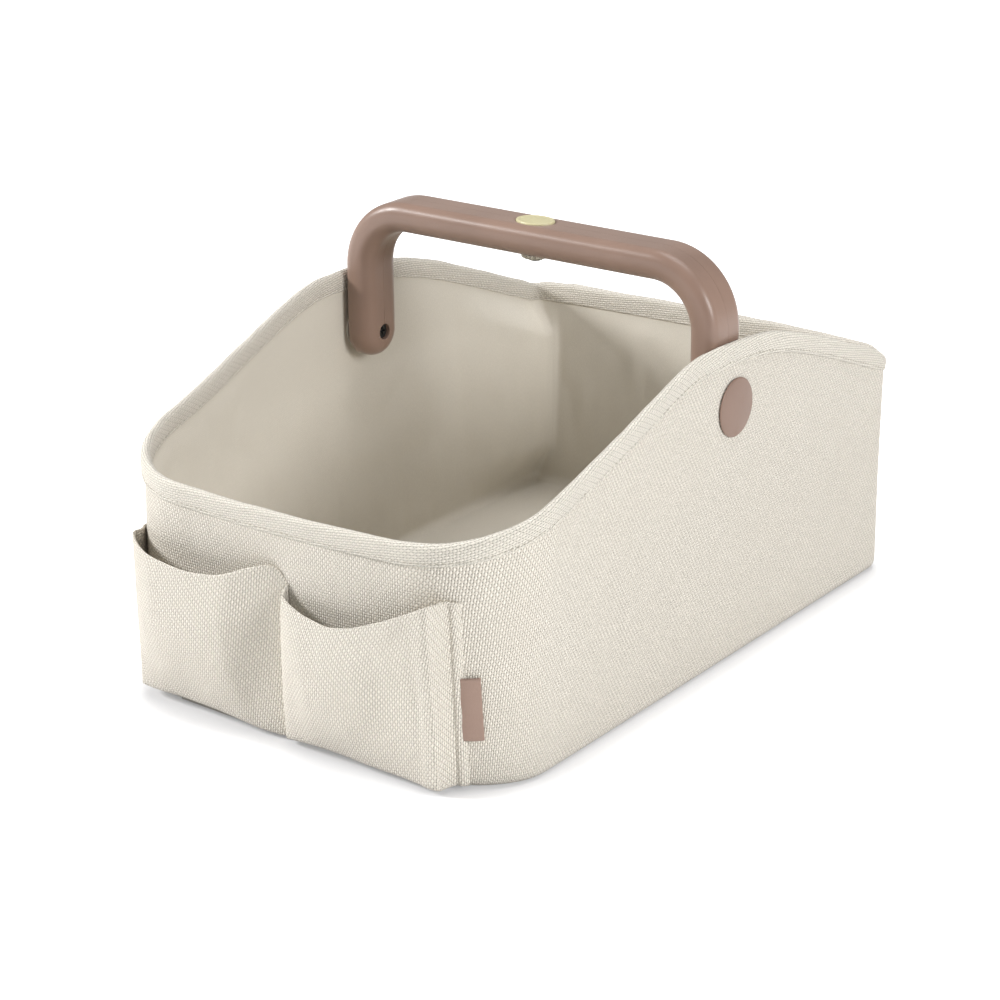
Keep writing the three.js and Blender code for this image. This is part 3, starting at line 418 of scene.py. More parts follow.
class Skin:
    """Collects quads from grids of points into one mesh with UVs in mm."""

    def __init__(self):
        self.vertices, self.faces, self.uv = [], [], []
        self.count = 0

    def add_points(self, points):
        flat = np.asarray(points, float).reshape(-1, 3)
        first = self.count
        self.vertices.append(flat)
        self.count += len(flat)
        return np.arange(first, self.count).reshape(np.asarray(points).shape[:-1])

    def quads(self, index, uv, closed=False, flip=False):
        """index is rows by columns; uv has one more column than index if closed."""
        rows, columns = index.shape
        last = columns if closed else columns - 1
        for r in range(rows - 1):
            for c in range(last):
                n = (c + 1) % columns
                face = [index[r, c], index[r, n], index[r + 1, n], index[r + 1, c]]
                corner = [uv[r, c], uv[r, c + 1], uv[r + 1, c + 1], uv[r + 1, c]]
                if flip:
                    face, corner = face[::-1], corner[::-1]
                self.faces.append([int(i) for i in face])
                self.uv.extend(corner)

    def face(self, index, uv):
        self.faces.append([int(i) for i in index])
        self.uv.extend(uv)

    def shrink(self, rim, points, flip=False):
        """Closes a loop with smaller and smaller rings about the floor's middle and a last face."""
        rings = [rim] + [self.add_points(ring) for ring in points]
        grid = np.stack(rings[::-1] if flip else rings)
        flat = np.vstack(self.vertices)[grid][..., :2]
        self.quads(grid, np.concatenate([flat, flat[:, :1]], 1), closed=True)
        last, flat = (rings[-1][::-1], flat[0][::-1]) if flip else (rings[-1], flat[-1])
        self.face(last, flat)

    def build(self, name, material, body="caddy"):
        vertices, uv = np.vstack(self.vertices), np.array(self.uv)
        return make_object(name, vertices, self.faces, uv, material, body)


def ring_uv(v):
    """UV grid for the closed RING: u runs along it, v is given for each row and column."""
    v = np.concatenate([v, v[:, :1]], 1)
    return np.stack([np.broadcast_to(RING.u, v.shape), v], 2)


# -------- woven materials
def woven(name, bright, plain, dark, pitch, depth, rough=0.85, lean=0.0, rise=0.0, tall=1.0,
          sheen=0.2):
    """Plain weave with proud upright threads: bright oval floats over plainer cross threads, dark
    pits at the corners that are painted shade, darker where the relief is low, each float leaning a
    little its own way, with slubs, fibre and slow tone drift. The upright threads lean, the cross
    threads rise, and tall is the cross threads' pitch as a share of the uprights' pitch."""
    p = Paint(name, rough, Specular_IOR_Level=0.2, Sheen_Weight=sheen, Sheen_Roughness=0.5)
    u, v = p.uv()
    flat = p.node("CombineXYZ", inputs={0: u, 1: v, 2: 0.0})
    u, v = p.math("MULTIPLY_ADD", v, -lean, u), p.math("MULTIPLY_ADD", u, -rise, v)
    drift = p.math("SUBTRACT", p.noise(flat, 0.5 / pitch, 1.0), 0.5)
    slow = p.math("SUBTRACT", p.noise(flat, 30.0, 1.0), 0.5)
    a = p.math("MULTIPLY_ADD", drift, 0.45, p.math("MULTIPLY", u, 1.0 / pitch))
    a = p.math("MULTIPLY_ADD", slow, 1.2, a)
    b = p.math("MULTIPLY_ADD", drift, -0.3, p.math("MULTIPLY", v, 1.0 / (pitch * tall)))
    sin_a = p.math("SINE", p.math("MULTIPLY", a, pi))
    sin_b = p.math("SINE", p.math("MULTIPLY", b, pi))
    mod_a, mod_b = p.math("ABSOLUTE", sin_a), p.math("ABSOLUTE", sin_b)
    wave_a = p.math("MULTIPLY", p.math("SIGN", sin_b), sin_a)
    wave_b = p.math("MULTIPLY", p.math("SIGN", sin_a), sin_b)
    upright = p.math("MULTIPLY_ADD", wave_b, 0.55, p.math("POWER", mod_a, 1.5))
    across = p.math("MULTIPLY_ADD", wave_a, -0.45, p.math("POWER", mod_b, 1.2))
    across = p.math("SUBTRACT", p.math("SUBTRACT", across, 0.25), p.step(mod_a, 0.0, 0.5, 0.3, 0.0))
    over = p.step(p.math("SUBTRACT", upright, across), 0.05, 0.5)
    height = p.math("MAXIMUM", upright, across)
    column = p.node("CombineXYZ", inputs={0: a, 1: p.math("MULTIPLY", b, 0.35), 2: 1.0})
    slub = p.noise(column, 0.9, 2.0)
    fibre = p.noise(flat, 5200.0, 3.0, 0.7)
    cloud = p.noise(flat, 22.0, 3.0)
    crest = p.mix(p.step(slub, 0.3, 0.72), shaded(bright, 0.93), shaded(bright, 1.03))
    tone = p.mix(over, plain, crest)
    # Painted shade: the dark colour fills the pits wherever the relief is low.
    tone = p.mix(p.step(height, 0.0, 0.55), dark, tone)
    tone = p.mix(p.step(cloud, 0.35, 0.7, 0.0, 0.22), tone, plain)
    tone = p.mix(p.step(fibre, 0.35, 0.8, 0.0, 0.2), tone, shaded(plain, 0.92))
    relief = p.math("MULTIPLY_ADD", fibre, 0.08, height)
    return p.done(tone, None, p.bump(relief, depth, 0.8))


CANVAS = [rgb(254, 248, 236), rgb(228, 220, 207), rgb(118, 110, 97)]
WEAVE = dict(pitch=0.00125, depth=0.0005, lean=0.196, tall=1.16)
canvas = woven("canvas_weave", *CANVAS, **WEAVE)
pocket_weave = woven("pocket_weave", *CANVAS, rise=0.24, **WEAVE)
BAND = dict(pitch=0.00125, depth=0.0004, lean=0.1, rise=0.1, tall=1.1)
band_weave = woven("band_weave", rgb(246, 240, 228), rgb(228, 222, 210), rgb(128, 121, 109), **BAND)
# The band's inner side: the band cloth in darker colours, painted shade for the inside of the caddy.
band_inner_painted_shade_weave = woven("band_inner_painted_shade_weave", rgb(226, 220, 209), rgb(212, 206, 195),
                         rgb(150, 143, 131), **BAND)
LINING = [rgb(220, 214, 202), rgb(212, 206, 194), rgb(190, 183, 171)]
lining_weave = woven("lining_weave", *LINING, 0.0005, 0.00005, sheen=0.1)
THREAD = [rgb(204, 196, 182), rgb(184, 176, 162), rgb(150, 142, 128)]
thread_paint = woven("thread_paint", *THREAD, 0.0004, 0.00006)


# -------- canvas: walls, round foot and underside
RING = Ring()
FOOT_ROWS, WALL_ROWS, WALL_TOP = 6, 55, 4.0
FOOT_ARC = 0.57  # by this share of its radius the foot's arc is longer than it is high


def puckers(points):
    """Soft unevenness of the sewn canvas: slow waves, and short puckers that hang from the band."""
    slow = wander(points, 55.0, 1)
    under = RING.rim - BAND_DEPTH - points[..., 2]
    hang = wander(points * [1, 1, 0.16], 9.0, 2, 1) * smooth(under, -2, 3)
    hang = hang * np.exp(-np.maximum(under, 0) / 16)
    foot = wander(points * [1, 1, 0.3], 14.0, 3, 1) * np.exp(-points[..., 2] / 10)
    return 0.55 * slow + 0.75 * hang + 0.35 * foot


def canvas_shell():
    skin = Skin()
    rows, insets = [], []
    for angle in np.linspace(0, pi / 2, FOOT_ROWS + 1):
        rows.append(RING.foot * (1 - cos(angle)))
        insets.append(RING.foot * (1 - sin(angle)))
    top = RING.rim - WALL_TOP - 0.65 * RING.dip
    for share in np.linspace(0, 1, WALL_ROWS + 1)[1:]:
        rows.append(RING.foot + (top - RING.foot) * share)
        insets.append(0.0)
    points = np.stack([RING.wall(h, i) for h, i in zip(rows, insets)])
    out = np.stack([RING.outward(h) for h in rows])
    ease = smooth(points[..., 2], 1.0, 8.0)
    points += out * ((puckers(points) - 0.3) * ease)[..., None]
    index = skin.add_points(points)
    v = np.stack(rows)
    v[:FOOT_ROWS + 1] -= np.linspace(FOOT_ARC, 0, FOOT_ROWS + 1)[:, None] * RING.foot
    skin.quads(index, ring_uv(v), closed=True)
    inner = [points[0] * [k, k, 1] + [0, 10 * (1 - k), 0] for k in (0.8, 0.55, 0.3)]
    skin.shrink(index[0], inner, flip=True)
    ob = skin.build("canvas_shell", canvas)
    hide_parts("outer_wall", "base_cover")


canvas_shell()


# -------- rim band, folded over all layers
def band_path():
    """(inset, drop below the rim) round the band, from the outer hem over the top to the inner hem."""
    mid, r = WALL_STACK / 2, WALL_STACK / 2 + 0.75
    hem = [(0.0, 0.25), (-0.45, 0.1), (-0.72, -0.35), (-0.78, -0.9), (-0.5, -1.5), (-0.72, -2.2),
           (-0.92, -4.0)]
    out = [(x, BAND_DEPTH + more) for x, more in hem] + [(-0.9, 4.4), (-0.78, 3.0)]
    arc = [(mid - r * cos(a), r - r * sin(a)) for a in np.linspace(0.12, pi - 0.12, 11)]
    inner = [(WALL_STACK - x, d) for x, d in out[::-1]]
    return out + arc + inner


BAND_LINE = 110
LAP_EDGE, LAP_FADE = (-92, -90), (-86, -40)


def rim_band():
    skin = Skin()
    path = np.array(band_path())
    points = np.stack([RING.wall(RING.rim - drop - RING.dip * max(1 - drop / BAND_DEPTH, 0), inset)
                       for inset, drop in path])
    out = RING.outward(BAND_LINE)
    number = np.arange(len(path))
    free = (smooth(number, 1, 4) * smooth(len(path) - 1 - number, 1, 4))[:, None]
    ripple = wander(points, 11.0, 5)
    lap_x, face = points[..., 0], np.where(number < len(path) / 2, 1, -1)[:, None]
    lap = 0.8 * smooth(lap_x, *LAP_EDGE) * (1 - smooth(lap_x, *LAP_FADE)) * (RING.zone == 4) * free
    points += out * (lap * face + 0.28 * ripple * free)[..., None]
    points[..., 2] += 0.6 * lap
    points[..., 2] += 0.35 * wander(points, 24.0, 6) * free
    v = np.broadcast_to(run(path)[:, None], points.shape[:2])
    index = skin.add_points(points)
    skin.quads(index, ring_uv(v)[..., ::-1], closed=True)
    ob = skin.build("rim_band_cloth", band_weave)
    # Painted shade: the inner half of the band takes the darker copy of its cloth.
    ob.data.materials.append(band_inner_painted_shade_weave)
    rows, columns = index.shape
    inside = np.repeat(np.arange(rows - 1) >= len(path) // 2, columns)
    ob.data.polygons.foreach_set("material_index", inside.astype(int))
    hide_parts("rim_band")


rim_band()


# -------- lining: wrinkled walls and floor
LINING_FOOT, LINING_ROUND, LINING_TOP = 4.0, 5.0, 5.5
BRIDGE_WAY, BRIDGE_X, BRIDGE_Y = (0.975, 0.222), 112.3, 112


def lining():
    skin = Skin()
    low = LINING_FOOT + LINING_ROUND
    rows, insets = [], []
    for share in np.linspace(0, 1, 50):
        rows.append(low + (RING.rim - LINING_TOP - 0.5 * RING.dip - low) * (1 - share))
        insets.append(WALL_STACK)
    for angle in np.linspace(0, pi / 2, 7)[1:]:
        rows.append(np.full(len(RING.t), LINING_FOOT + LINING_ROUND * (1 - sin(angle))))
        insets.append(WALL_STACK + LINING_ROUND * (1 - cos(angle)))
    points = np.stack([RING.wall(h, i) for h, i in zip(rows, insets)])
    out = np.stack([RING.outward(np.maximum(h, 20)) for h in rows])
    depth = RING.rim - points[..., 2]
    # The cloth crosses the rear corners on a curve
    way_x, way_y = BRIDGE_WAY
    beyond = (np.abs(points[..., 0]) - BRIDGE_X) * way_x + (points[..., 1] - BRIDGE_Y) * way_y
    bridge = 0.85 * np.maximum(beyond, 0) * smooth(beyond, 0, 2)
    bridge = bridge * smooth(depth, 10, 30) * smooth(points[..., 2], 6, 30)
    points[..., 0] -= np.sign(points[..., 0]) * way_x * bridge
    points[..., 1] -= way_y * bridge
    # It wrinkles, least where the handle sweeps past
    corner = RING.zone == 1
    wrinkle = np.abs(wander(points * [1, 1, 0.5], 26.0, 7)) * 1.3
    upright = np.abs(wander(points * [1, 1, 0.12], 13.0, 8, 1)) * (0.6 + 1.2 * corner)
    ease = smooth(depth, 10, 22) * smooth(points[..., 2], 6, 16)
    sweep = 1 - smooth(np.abs(points[..., 1] - PIVOT_Y), 84, 104)
    sweep = sweep * smooth(points[..., 2], 100, 114)
    ease = ease * (1 - 0.85 * sweep)
    points -= out * ((wrinkle + upright) * ease)[..., None]
    index = skin.add_points(points)
    skin.quads(index, ring_uv(-run(points)), closed=True)
    rings = []
    for share in (0.85, 0.68, 0.5, 0.3, 0.12):
        inner = points[-1] * [share, share, 1] + [0, 10 * (1 - share), 0]
        inner[:, 2] = LINING_FOOT + 0.5 * wander(inner, 40.0, 9) * (1 - share)
        rings.append(inner)
    skin.shrink(index[-1], rings)
    ob = skin.build("lining_cloth", lining_weave)
    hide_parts("lining")


lining()


# -------- pockets with pleated outer gussets
def through(x, places, values):
    """A smooth curve through points that never swings past them."""
    places, values = np.array(places, float), np.array(values, float)
    gap = np.diff(places)
    slope = np.diff(values) / gap
    tangent = np.zeros(len(places))
    tangent[0], tangent[-1] = slope[0], slope[-1]
    for k in range(1, len(places) - 1):
        if slope[k - 1] * slope[k] > 0:
            w1, w2 = 2 * gap[k] + gap[k - 1], gap[k] + 2 * gap[k - 1]
            tangent[k] = (w1 + w2) / (w1 / slope[k - 1] + w2 / slope[k])
    at = np.clip(np.searchsorted(places, x, side="right") - 1, 0, len(places) - 2)
    t = (x - places[at]) / gap[at]
    a, b = tangent[at] * gap[at], tangent[at + 1] * gap[at]
    y0, y1 = values[at], values[at + 1]
    return y0 + t * a + t ** 2 * (3 * (y1 - y0) - 2 * a - b) + t ** 3 * (2 * (y0 - y1) + a + b)


def front_wall(x, z):
    """Where the front wall's face lies, as in the CAD source."""
    rise = z / RIM_FRONT
    front = -FRONT_FOOT - FRONT_LEAN * rise
    radius = FRONT_FOOT_RADIUS + (FRONT_RIM_RADIUS - FRONT_FOOT_RADIUS) * rise
    straight = BODY_WIDTH / 2 - radius
    beyond = np.maximum(np.abs(x) - straight, 0)
    flat = front - FRONT_BOW * (1 - np.minimum(np.abs(x) / straight, 1) ** 2)
    turned = front + radius - np.sqrt(np.maximum(radius ** 2 - beyond ** 2, 0))
    return np.where(beyond > 0, turned, flat)


def unit(vectors):
    return vectors / np.maximum(np.linalg.norm(vectors, axis=-1, keepdims=True), 1e-9)


MOUTH_ROUND = 0.65
POCKET_COLUMNS, POCKET_ROWS = 110, 46
FOOT_TURN = ((0.0, 1.0), (0.1, 0.5), (0.45, 0.12))
TURN_RISE = 1.3


def pocket(name, node, table, seed, flip):
    """table rows, from the middle seam to the outer seam: x, out and z at the mouth, out halfway
    down, then x, out and z at the foot. The columns stand closer where the table's rows do."""
    table = np.array(table, float)
    length = run(table[:, :2])
    fine = np.interp(np.linspace(0, 1, POCKET_COLUMNS), np.linspace(0, 1, len(length)), length)
    even = np.linspace(0, length[-1], POCKET_COLUMNS)
    place = np.sort(np.concatenate([fine[::2], even[1::2]]))
    mx, mo, mz, ho, fx, fo, fz = (through(place, length, table[:, k]) for k in range(7))
    rows = []
    for rise, back in FOOT_TURN:
        z = fz + rise
        out = fo * (1 - back) - 0.4 * back
        rows.append(np.stack([fx, front_wall(fx, z) - out, z], 1))
    for t in np.linspace(0, 1, POCKET_ROWS):
        x, z = fx + (mx - fx) * t, fz + TURN_RISE + (mz - MOUTH_ROUND - fz - TURN_RISE) * t
        out = fo * (1 - t) * (1 - 2 * t) + 4 * ho * t * (1 - t) + mo * t * (2 * t - 1)
        rows.append(np.stack([x, front_wall(x, z) - out, z], 1))
    outer = np.stack(rows)
    height = np.linspace(0, 1, len(rows))[:, None]
    belly = np.sin(pi * np.clip(place / length[-1], 0, 1)) ** 0.5
    soft = 0.9 * wander(outer * [1, 1, 0.7], 30.0, seed)
    soft += 0.35 * wander(outer * [1, 1, 0.4], 12.0, seed + 1)
    soft = soft * belly * smooth(height, 0.02, 0.25)
    outer[..., 1] -= soft * (1 - 0.5 * smooth(height, 0.9, 1.0))
    upward = np.gradient(outer, axis=0)
    normal = unit(np.cross(np.gradient(outer, axis=1), upward))
    if flip:
        normal = -normal
    top, top_normal, top_up = outer[-1], normal[-1], unit(upward[-1])
    roll = [top - top_normal * MOUTH_ROUND + MOUTH_ROUND * (top_normal * cos(a) + top_up * sin(a))
            for a in np.linspace(0, pi, 8)[1:-1]]
    first = len(FOOT_TURN)
    inner = outer - normal * 2 * MOUTH_ROUND * smooth(height, 0.0, 0.2)[..., None]
    inner = inner[first:][::-1]
    points = np.concatenate([outer, np.stack(roll), inner])
    skin = Skin()
    index = skin.add_points(points)
    u = run(points * [1, 1, 0], axis=1)
    v = run(points)
    u = points[:, :1, 0] + u * (-1 if flip else 1)
    uv = np.stack([u, v - v[first] + points[first, :, 2]], 2)
    skin.quads(index, uv, flip=flip)
    ob = skin.build(name, pocket_weave)
    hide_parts(node)


LEFT_POCKET = [
    (3.0, 0.3, 84.5, 0.3, -4.5, 0.3, 2.0), (0.8, 1.0, 88.0, 0.7, -5.4, 0.7, 1.9),
    (-1.6, 1.9, 91.0, 1.2, -7.0, 1.1, 1.8), (-5.0, 3.6, 92.3, 2.2, -10, 1.8, 1.9),
    (-13, 7.4, 90.4, 5.2, -19, 3.4, 2.6), (-31, 13.2, 84.2, 12.2, -34, 5.0, 4.8),
    (-48, 15.3, 82.8, 15.6, -51, 5.2, 5.9), (-66, 14.5, 83.4, 16.0, -68, 5.0, 5.9),
    (-84, 12.4, 84.4, 13.4, -84, 6.0, 5.4), (-94, 10.8, 84.8, 10.8, -92.5, 8.0, 4.9),
    (-98.2, 9.9, 84.8, 9.8, -97.3, 9.5, 4.6), (-99.8, 8.4, 84.7, 8.4, -99.2, 8.6, 4.6),
    (-99.6, 5.4, 84.5, 5.4, -99.2, 5.4, 4.5), (-100.2, 3.2, 84.2, 3.0, -100.0, 2.6, 4.3),
    (-101.6, 2.6, 84.0, 2.4, -101.4, 2.1, 4.2), (-102.9, 1.7, 83.8, 1.6, -102.9, 1.4, 4.1),
    (-103.5, -0.4, 83.6, -0.4, -103.5, -0.4, 4.0)]
RIGHT_POCKET = [
    (3.0, 0.3, 84.5, 0.3, -4.5, 0.3, 2.0), (1.9, 1.9, 82.0, 2.2, -4.4, 1.8, 2.1),
    (1.9, 3.8, 80.0, 4.6, -3.8, 3.6, 2.2), (6.0, 6.3, 77.9, 8.6, 0.0, 5.0, 3.0),
    (12, 8.6, 76.6, 12.2, 8, 5.8, 3.9), (22, 11.0, 74.8, 15.6, 20, 6.2, 4.4),
    (33, 13.0, 74.2, 15.8, 32, 6.4, 4.1), (44.5, 14.2, 76.0, 14.2, 45, 6.8, 3.1),
    (61, 14.0, 82.0, 11.0, 62, 7.4, 2.4), (78.5, 12.8, 90.0, 10.0, 78, 9.4, 2.0),
    (84.4, 12.9, 93.0, 12.5, 84.9, 11.4, 1.9), (86.8, 12.5, 94.0, 12.7, 87.6, 11.6, 1.9),
    (88.0, 8.2, 94.0, 8.0, 89.0, 7.4, 2.0), (88.6, 4.0, 93.7, 3.8, 89.8, 3.6, 2.0),
    (89.9, 2.0, 93.3, 1.9, 91.2, 1.9, 2.0), (91.4, 2.7, 93.0, 2.7, 92.8, 2.5, 2.0),
    (92.6, 2.5, 92.8, 2.4, 94.3, 2.2, 2.0), (93.5, -0.4, 92.6, -0.4, 95.2, -0.4, 2.0)]
pocket("left_pocket_cloth", "left_pocket", LEFT_POCKET, 21, True)
pocket("right_pocket_cloth", "right_pocket", RIGHT_POCKET, 31, False)


# -------- sewing thread
STITCH_STEP, STITCH_LENGTH, STITCH_RADIUS, STITCH_DEPTH = 3.1, 2.1, 0.24, 0.5
STITCH_FORM = ((0.0, 0.25, -0.7), (0.12, 0.8, -0.1), (0.35, 1.0, 0.25),
               (0.65, 1.0, 0.25), (0.88, 0.8, -0.1), (1.0, 0.25, -0.7))


def stitches(name, points, outward):
    """Short capsules along a closed line of points, half sunk in the cloth."""
    loop, out_loop = np.vstack([points, points[:1]]), np.vstack([outward, outward[:1]])
    lengths = run(loop)
    count = int(lengths[-1] / STITCH_STEP)
    turn = np.linspace(0, 2 * pi, 7)[:-1]
    skin = Skin()
    for k in range(count):
        start = (k + 0.2) * lengths[-1] / count
        ends = ((start, loop), (start + STITCH_LENGTH, loop), (start, out_loop))
        a, b, out = (np.array([np.interp(spot, lengths, line[:, i]) for i in range(3)])
                     for spot, line in ends)
        out, along = STITCH_RADIUS * unit(out), unit(b - a)
        side = np.cross(along, out)
        rings = [[a + (b - a) * share + out * (lift + thick * sin(w)) + side * thick * cos(w)
                  for w in turn] for share, thick, lift in STITCH_FORM]
        index = skin.add_points(np.array(rings))
        uv = np.stack(np.meshgrid(np.linspace(0, 1.5, 7), np.linspace(0, STITCH_LENGTH, 6)), 2)
        skin.quads(index, uv, closed=True)
    ob = skin.build(name, thread_paint)


SEAM = RING.rim - BAND_DEPTH + 1.5
stitches("band_stitches_outside", RING.wall(SEAM, -STITCH_DEPTH), RING.outward(BAND_LINE))
stitches("band_stitches_inside", RING.wall(SEAM, WALL_STACK + STITCH_DEPTH),
         -RING.outward(BAND_LINE))


# -------- turned pieces
TURN_SIDES, SHARP = 96, radians(35)


def lathe(name, profile, material, axis, centre, body="caddy"):
    """profile is (radius, distance along the axis) in mm; a radius of 0 closes the piece."""
    skin = Skin()
    rows = []
    for radius, along in profile:
        angle = np.linspace(0, 2 * pi, TURN_SIDES, endpoint=False)
        c, s = radius * np.cos(angle), radius * np.sin(angle)
        flat = np.full(TURN_SIDES, float(along))
        rows.append(np.stack([flat, c, s] if axis == "x" else [c, s, flat], 1) + centre)
    index = skin.add_points(np.stack(rows))
    turn = np.linspace(0, 2 * pi, TURN_SIDES + 1) * max(r for r, _ in profile)
    uv = np.stack(np.broadcast_arrays(turn[None, :], run(np.array(profile, float))[:, None]), 2)
    skin.quads(index, uv, closed=True)
    ob = skin.build(name, material, body)
    mesh = ob.data
    bm = bmesh.new()
    bm.from_mesh(mesh)
    bmesh.ops.remove_doubles(bm, verts=bm.verts, dist=1e-6)
    bmesh.ops.recalc_face_normals(bm, faces=bm.faces)
    bm.to_mesh(mesh)
    bm.free()
    mesh.set_sharp_from_angle(angle=SHARP)
    return ob


def round_corner(points, steps, radius):
    """Rounds the corners of a profile."""
    out = [points[0]]
    for before, here, after in zip(points, points[1:], points[2:]):
        b, h, a = np.array(before, float), np.array(here, float), np.array(after, float)
        r = min(radius, 0.45 * np.linalg.norm(h - b), 0.45 * np.linalg.norm(a - h))
        p0, p1 = h + unit(b - h) * r, h + unit(a - h) * r
        for t in np.linspace(0, 1, steps):
            out.append(tuple((1 - t) ** 2 * p0 + 2 * t * (1 - t) * h + t * t * p1))
    out.append(points[-1])
    return out


CAP_RADIUS, CAP_FACE, CAP_BACK, CAP_DOME = 14.8, 119.8, 118.05, 1.0
POST_RADIUS, POST_END = 5.0, 104.5
for side, word in ((-1, "left"), (1, "right")):
    face = [(r, CAP_FACE - CAP_DOME * (r / CAP_RADIUS) ** 2.4)
            for r in np.linspace(0, CAP_RADIUS - 0.6, 15)]
    face += [(CAP_RADIUS, CAP_BACK + 0.5), (CAP_RADIUS, CAP_BACK), (POST_RADIUS, CAP_BACK),
             (POST_RADIUS, POST_END), (0, POST_END)]
    profile = [(r, side * x) for r, x in round_corner(face, 5, 0.45)]
    # The caps take the darker copy of the mocha paint, painted shade.
    disc = lathe(word + "_cap", profile, mocha_painted_shade_cap, "x", (0, PIVOT_Y, PIVOT_Z))
    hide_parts(word + "_disc")


# -------- side tab: a ribbon folded double
RIBBON_LOW, RIBBON_HIGH, RIBBON_START, RIBBON_REACH, RIBBON_HALF = 25.2, 55.9, 89.6, 9.9, 0.55


def ribbon():
    """A folded ribbon that comes out of the right pocket's seam and lies along the wall."""
    skin = Skin()
    reach = np.linspace(0, 1, 14)
    rows = []
    for z in np.linspace(RIBBON_LOW, RIBBON_HIGH, 24):
        x = RIBBON_START + RIBBON_REACH * reach + 0.035 * (RIBBON_HIGH - z)
        lift = (0.75 + 0.55 * np.sin(pi * reach) + 0.10 * sin(z * 0.45))[:, None]
        slope = np.gradient(front_wall(x, z), x)
        normal = np.stack([slope, -np.ones_like(slope), 0 * slope], 1) / np.hypot(slope, 1)[:, None]
        base = np.stack([x, front_wall(x, z), np.full_like(x, z)], 1)
        top, under = base + normal * (lift + RIBBON_HALF), base + normal * (lift - RIBBON_HALF)
        along = unit(base[-1] - base[-2])
        end = base[-1] + normal[-1] * lift[-1]
        turn = [end + RIBBON_HALF * (normal[-1] * cos(a) + along * sin(a))
                for a in np.linspace(0, pi, 9)[1:-1]]
        rows.append(np.concatenate([top, turn, under[::-1]]))
    points = np.stack(rows)
    index = skin.add_points(points)
    uv = np.stack(np.broadcast_arrays(run(points[0]), points[:, :1, 2]), 2)
    skin.quads(index, uv)
    count = points.shape[1]
    for row, flip in ((0, True), (-1, False)):
        for k in range(count // 2):
            spots = [k, k + 1, count - 2 - k, count - 1 - k]
            if spots[1] == spots[2]:
                spots.pop(2)
            if flip:
                spots = spots[::-1]
            skin.face(index[row, spots], points[row, spots, :2])
    ob = skin.build("side_ribbon", ribbon_weave)
    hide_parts("side_tab")


ribbon_weave = woven("ribbon_weave", rgb(170, 145, 132), rgb(162, 137, 124), rgb(146, 121, 108),
                     0.00045, 0.00004, rough=0.6, tall=0.8, sheen=0.15)
ribbon()


# -------- handle: two moulded shells, swept and cut
GRIP_DEPTH, GRIP_HEIGHT, OUTER_ROUND, INNER_ROUND, OUTER_BEND = 27.5, 16.0, 5.6, 7.9, 38
HANDLE_HALF, BAR_TOP, SHELL_WALL, CAVITY_FOOT = 113.0, 74.5, 2.0, 15.75
LEG_MIDDLE, BEND = HANDLE_HALF - GRIP_HEIGHT / 2, OUTER_BEND - GRIP_HEIGHT / 2
BEND_X, BEND_Z = HANDLE_HALF - OUTER_BEND, BAR_TOP - OUTER_BEND


def section(inset):
    """Half of the bar's section, from its outer to its inner face: (outward, depth), depth from 0."""
    a, b = GRIP_HEIGHT / 2 - inset, GRIP_DEPTH / 2 - inset
    out, inn = OUTER_ROUND - inset, INNER_ROUND - inset
    half = [(a, 0.0), (a, 0.5 * (b - out)), (a, b - out)]
    turn = np.linspace(0, pi / 2, 9)
    half += [(a - out + out * cos(t), b - out + out * sin(t)) for t in turn[1:]]
    half += [(0.5 * (inn - out), b)]
    half += [(inn - a - inn * sin(t), b - inn + inn * cos(t)) for t in turn]
    half += [(-a, 0.5 * (b - inn)), (-a, 0.0)]
    return half


def bar_mesh(inset, foot, round_end):
    """A closed bar along the handle's U, in mm about the pivot; round ends turn about the pivot."""
    half = section(inset)
    ring_points = half + [(a, -b) for a, b in half[::-1] if b > 1e-6]
    arc = np.linspace(0, pi / 2, 30)
    frames = [(-LEG_MIDDLE, z, -1.0, 0.0) for z in np.linspace(foot, BEND_Z, 4)[:-1]]
    frames += [(-BEND_X - BEND * cos(t), BEND_Z + BEND * sin(t), -cos(t), sin(t)) for t in arc]
    frames += [(x, BEND_Z + BEND, 0.0, 1.0) for x in np.linspace(-BEND_X, BEND_X, 12)[1:-1]]
    frames += [(BEND_X + BEND * sin(t), BEND_Z + BEND * cos(t), sin(t), cos(t)) for t in arc]
    frames += [(LEG_MIDDLE, z, 1.0, 0.0) for z in np.linspace(BEND_Z, foot, 4)[1:]]
    bm = bmesh.new()
    rows = []
    for x, z, nx, nz in frames:
        rows.append([bm.verts.new((x + nx * a, b, z + nz * a)) for a, b in ring_points])
    count = len(ring_points)
    for low, high in zip(rows, rows[1:]):
        for k in range(count):
            n = (k + 1) % count
            bm.faces.new((low[k], low[n], high[n], high[k]))
    if round_end:
        for x, side in ((-LEG_MIDDLE, -1.0), (LEG_MIDDLE, 1.0)):
            fan = []
            for t in np.linspace(0, pi, 33):
                fan.append([bm.verts.new((x + side * a, b * cos(t), -b * sin(t))) for a, b in half])
            for one, two in zip(fan, fan[1:]):
                for k in range(len(half) - 1):
                    bm.faces.new((one[k], one[k + 1], two[k + 1], two[k]))
    else:
        bm.faces.new(rows[0])
        bm.faces.new(rows[-1][::-1])
    bmesh.ops.remove_doubles(bm, verts=bm.verts, dist=1e-4)
    bmesh.ops.dissolve_degenerate(bm, edges=bm.edges, dist=1e-5)
    bmesh.ops.recalc_face_normals(bm, faces=bm.faces)
    return bm


def plain_object(name, bm):
    """An object from mm about the pivot, placed at the pivot in metres."""
    for vertex in bm.verts:
        x, y, z = vertex.co
        vertex.co = (x * MM, (y + PIVOT_Y + SHIFT) * MM, (z + PIVOT_Z) * MM)
    mesh = bpy.data.meshes.new(name)
    bm.to_mesh(mesh)
    bm.free()
    return linked(name, mesh)


def block(name, low, high):
    """A box between two corners, in mm about the pivot."""
    bm = bmesh.new()
    bmesh.ops.create_cube(bm, size=1.0)
    for vertex in bm.verts:
        vertex.co = [l + (h - l) * (c + 0.5) for l, h, c in zip(low, high, vertex.co)]
    return plain_object(name, bm)


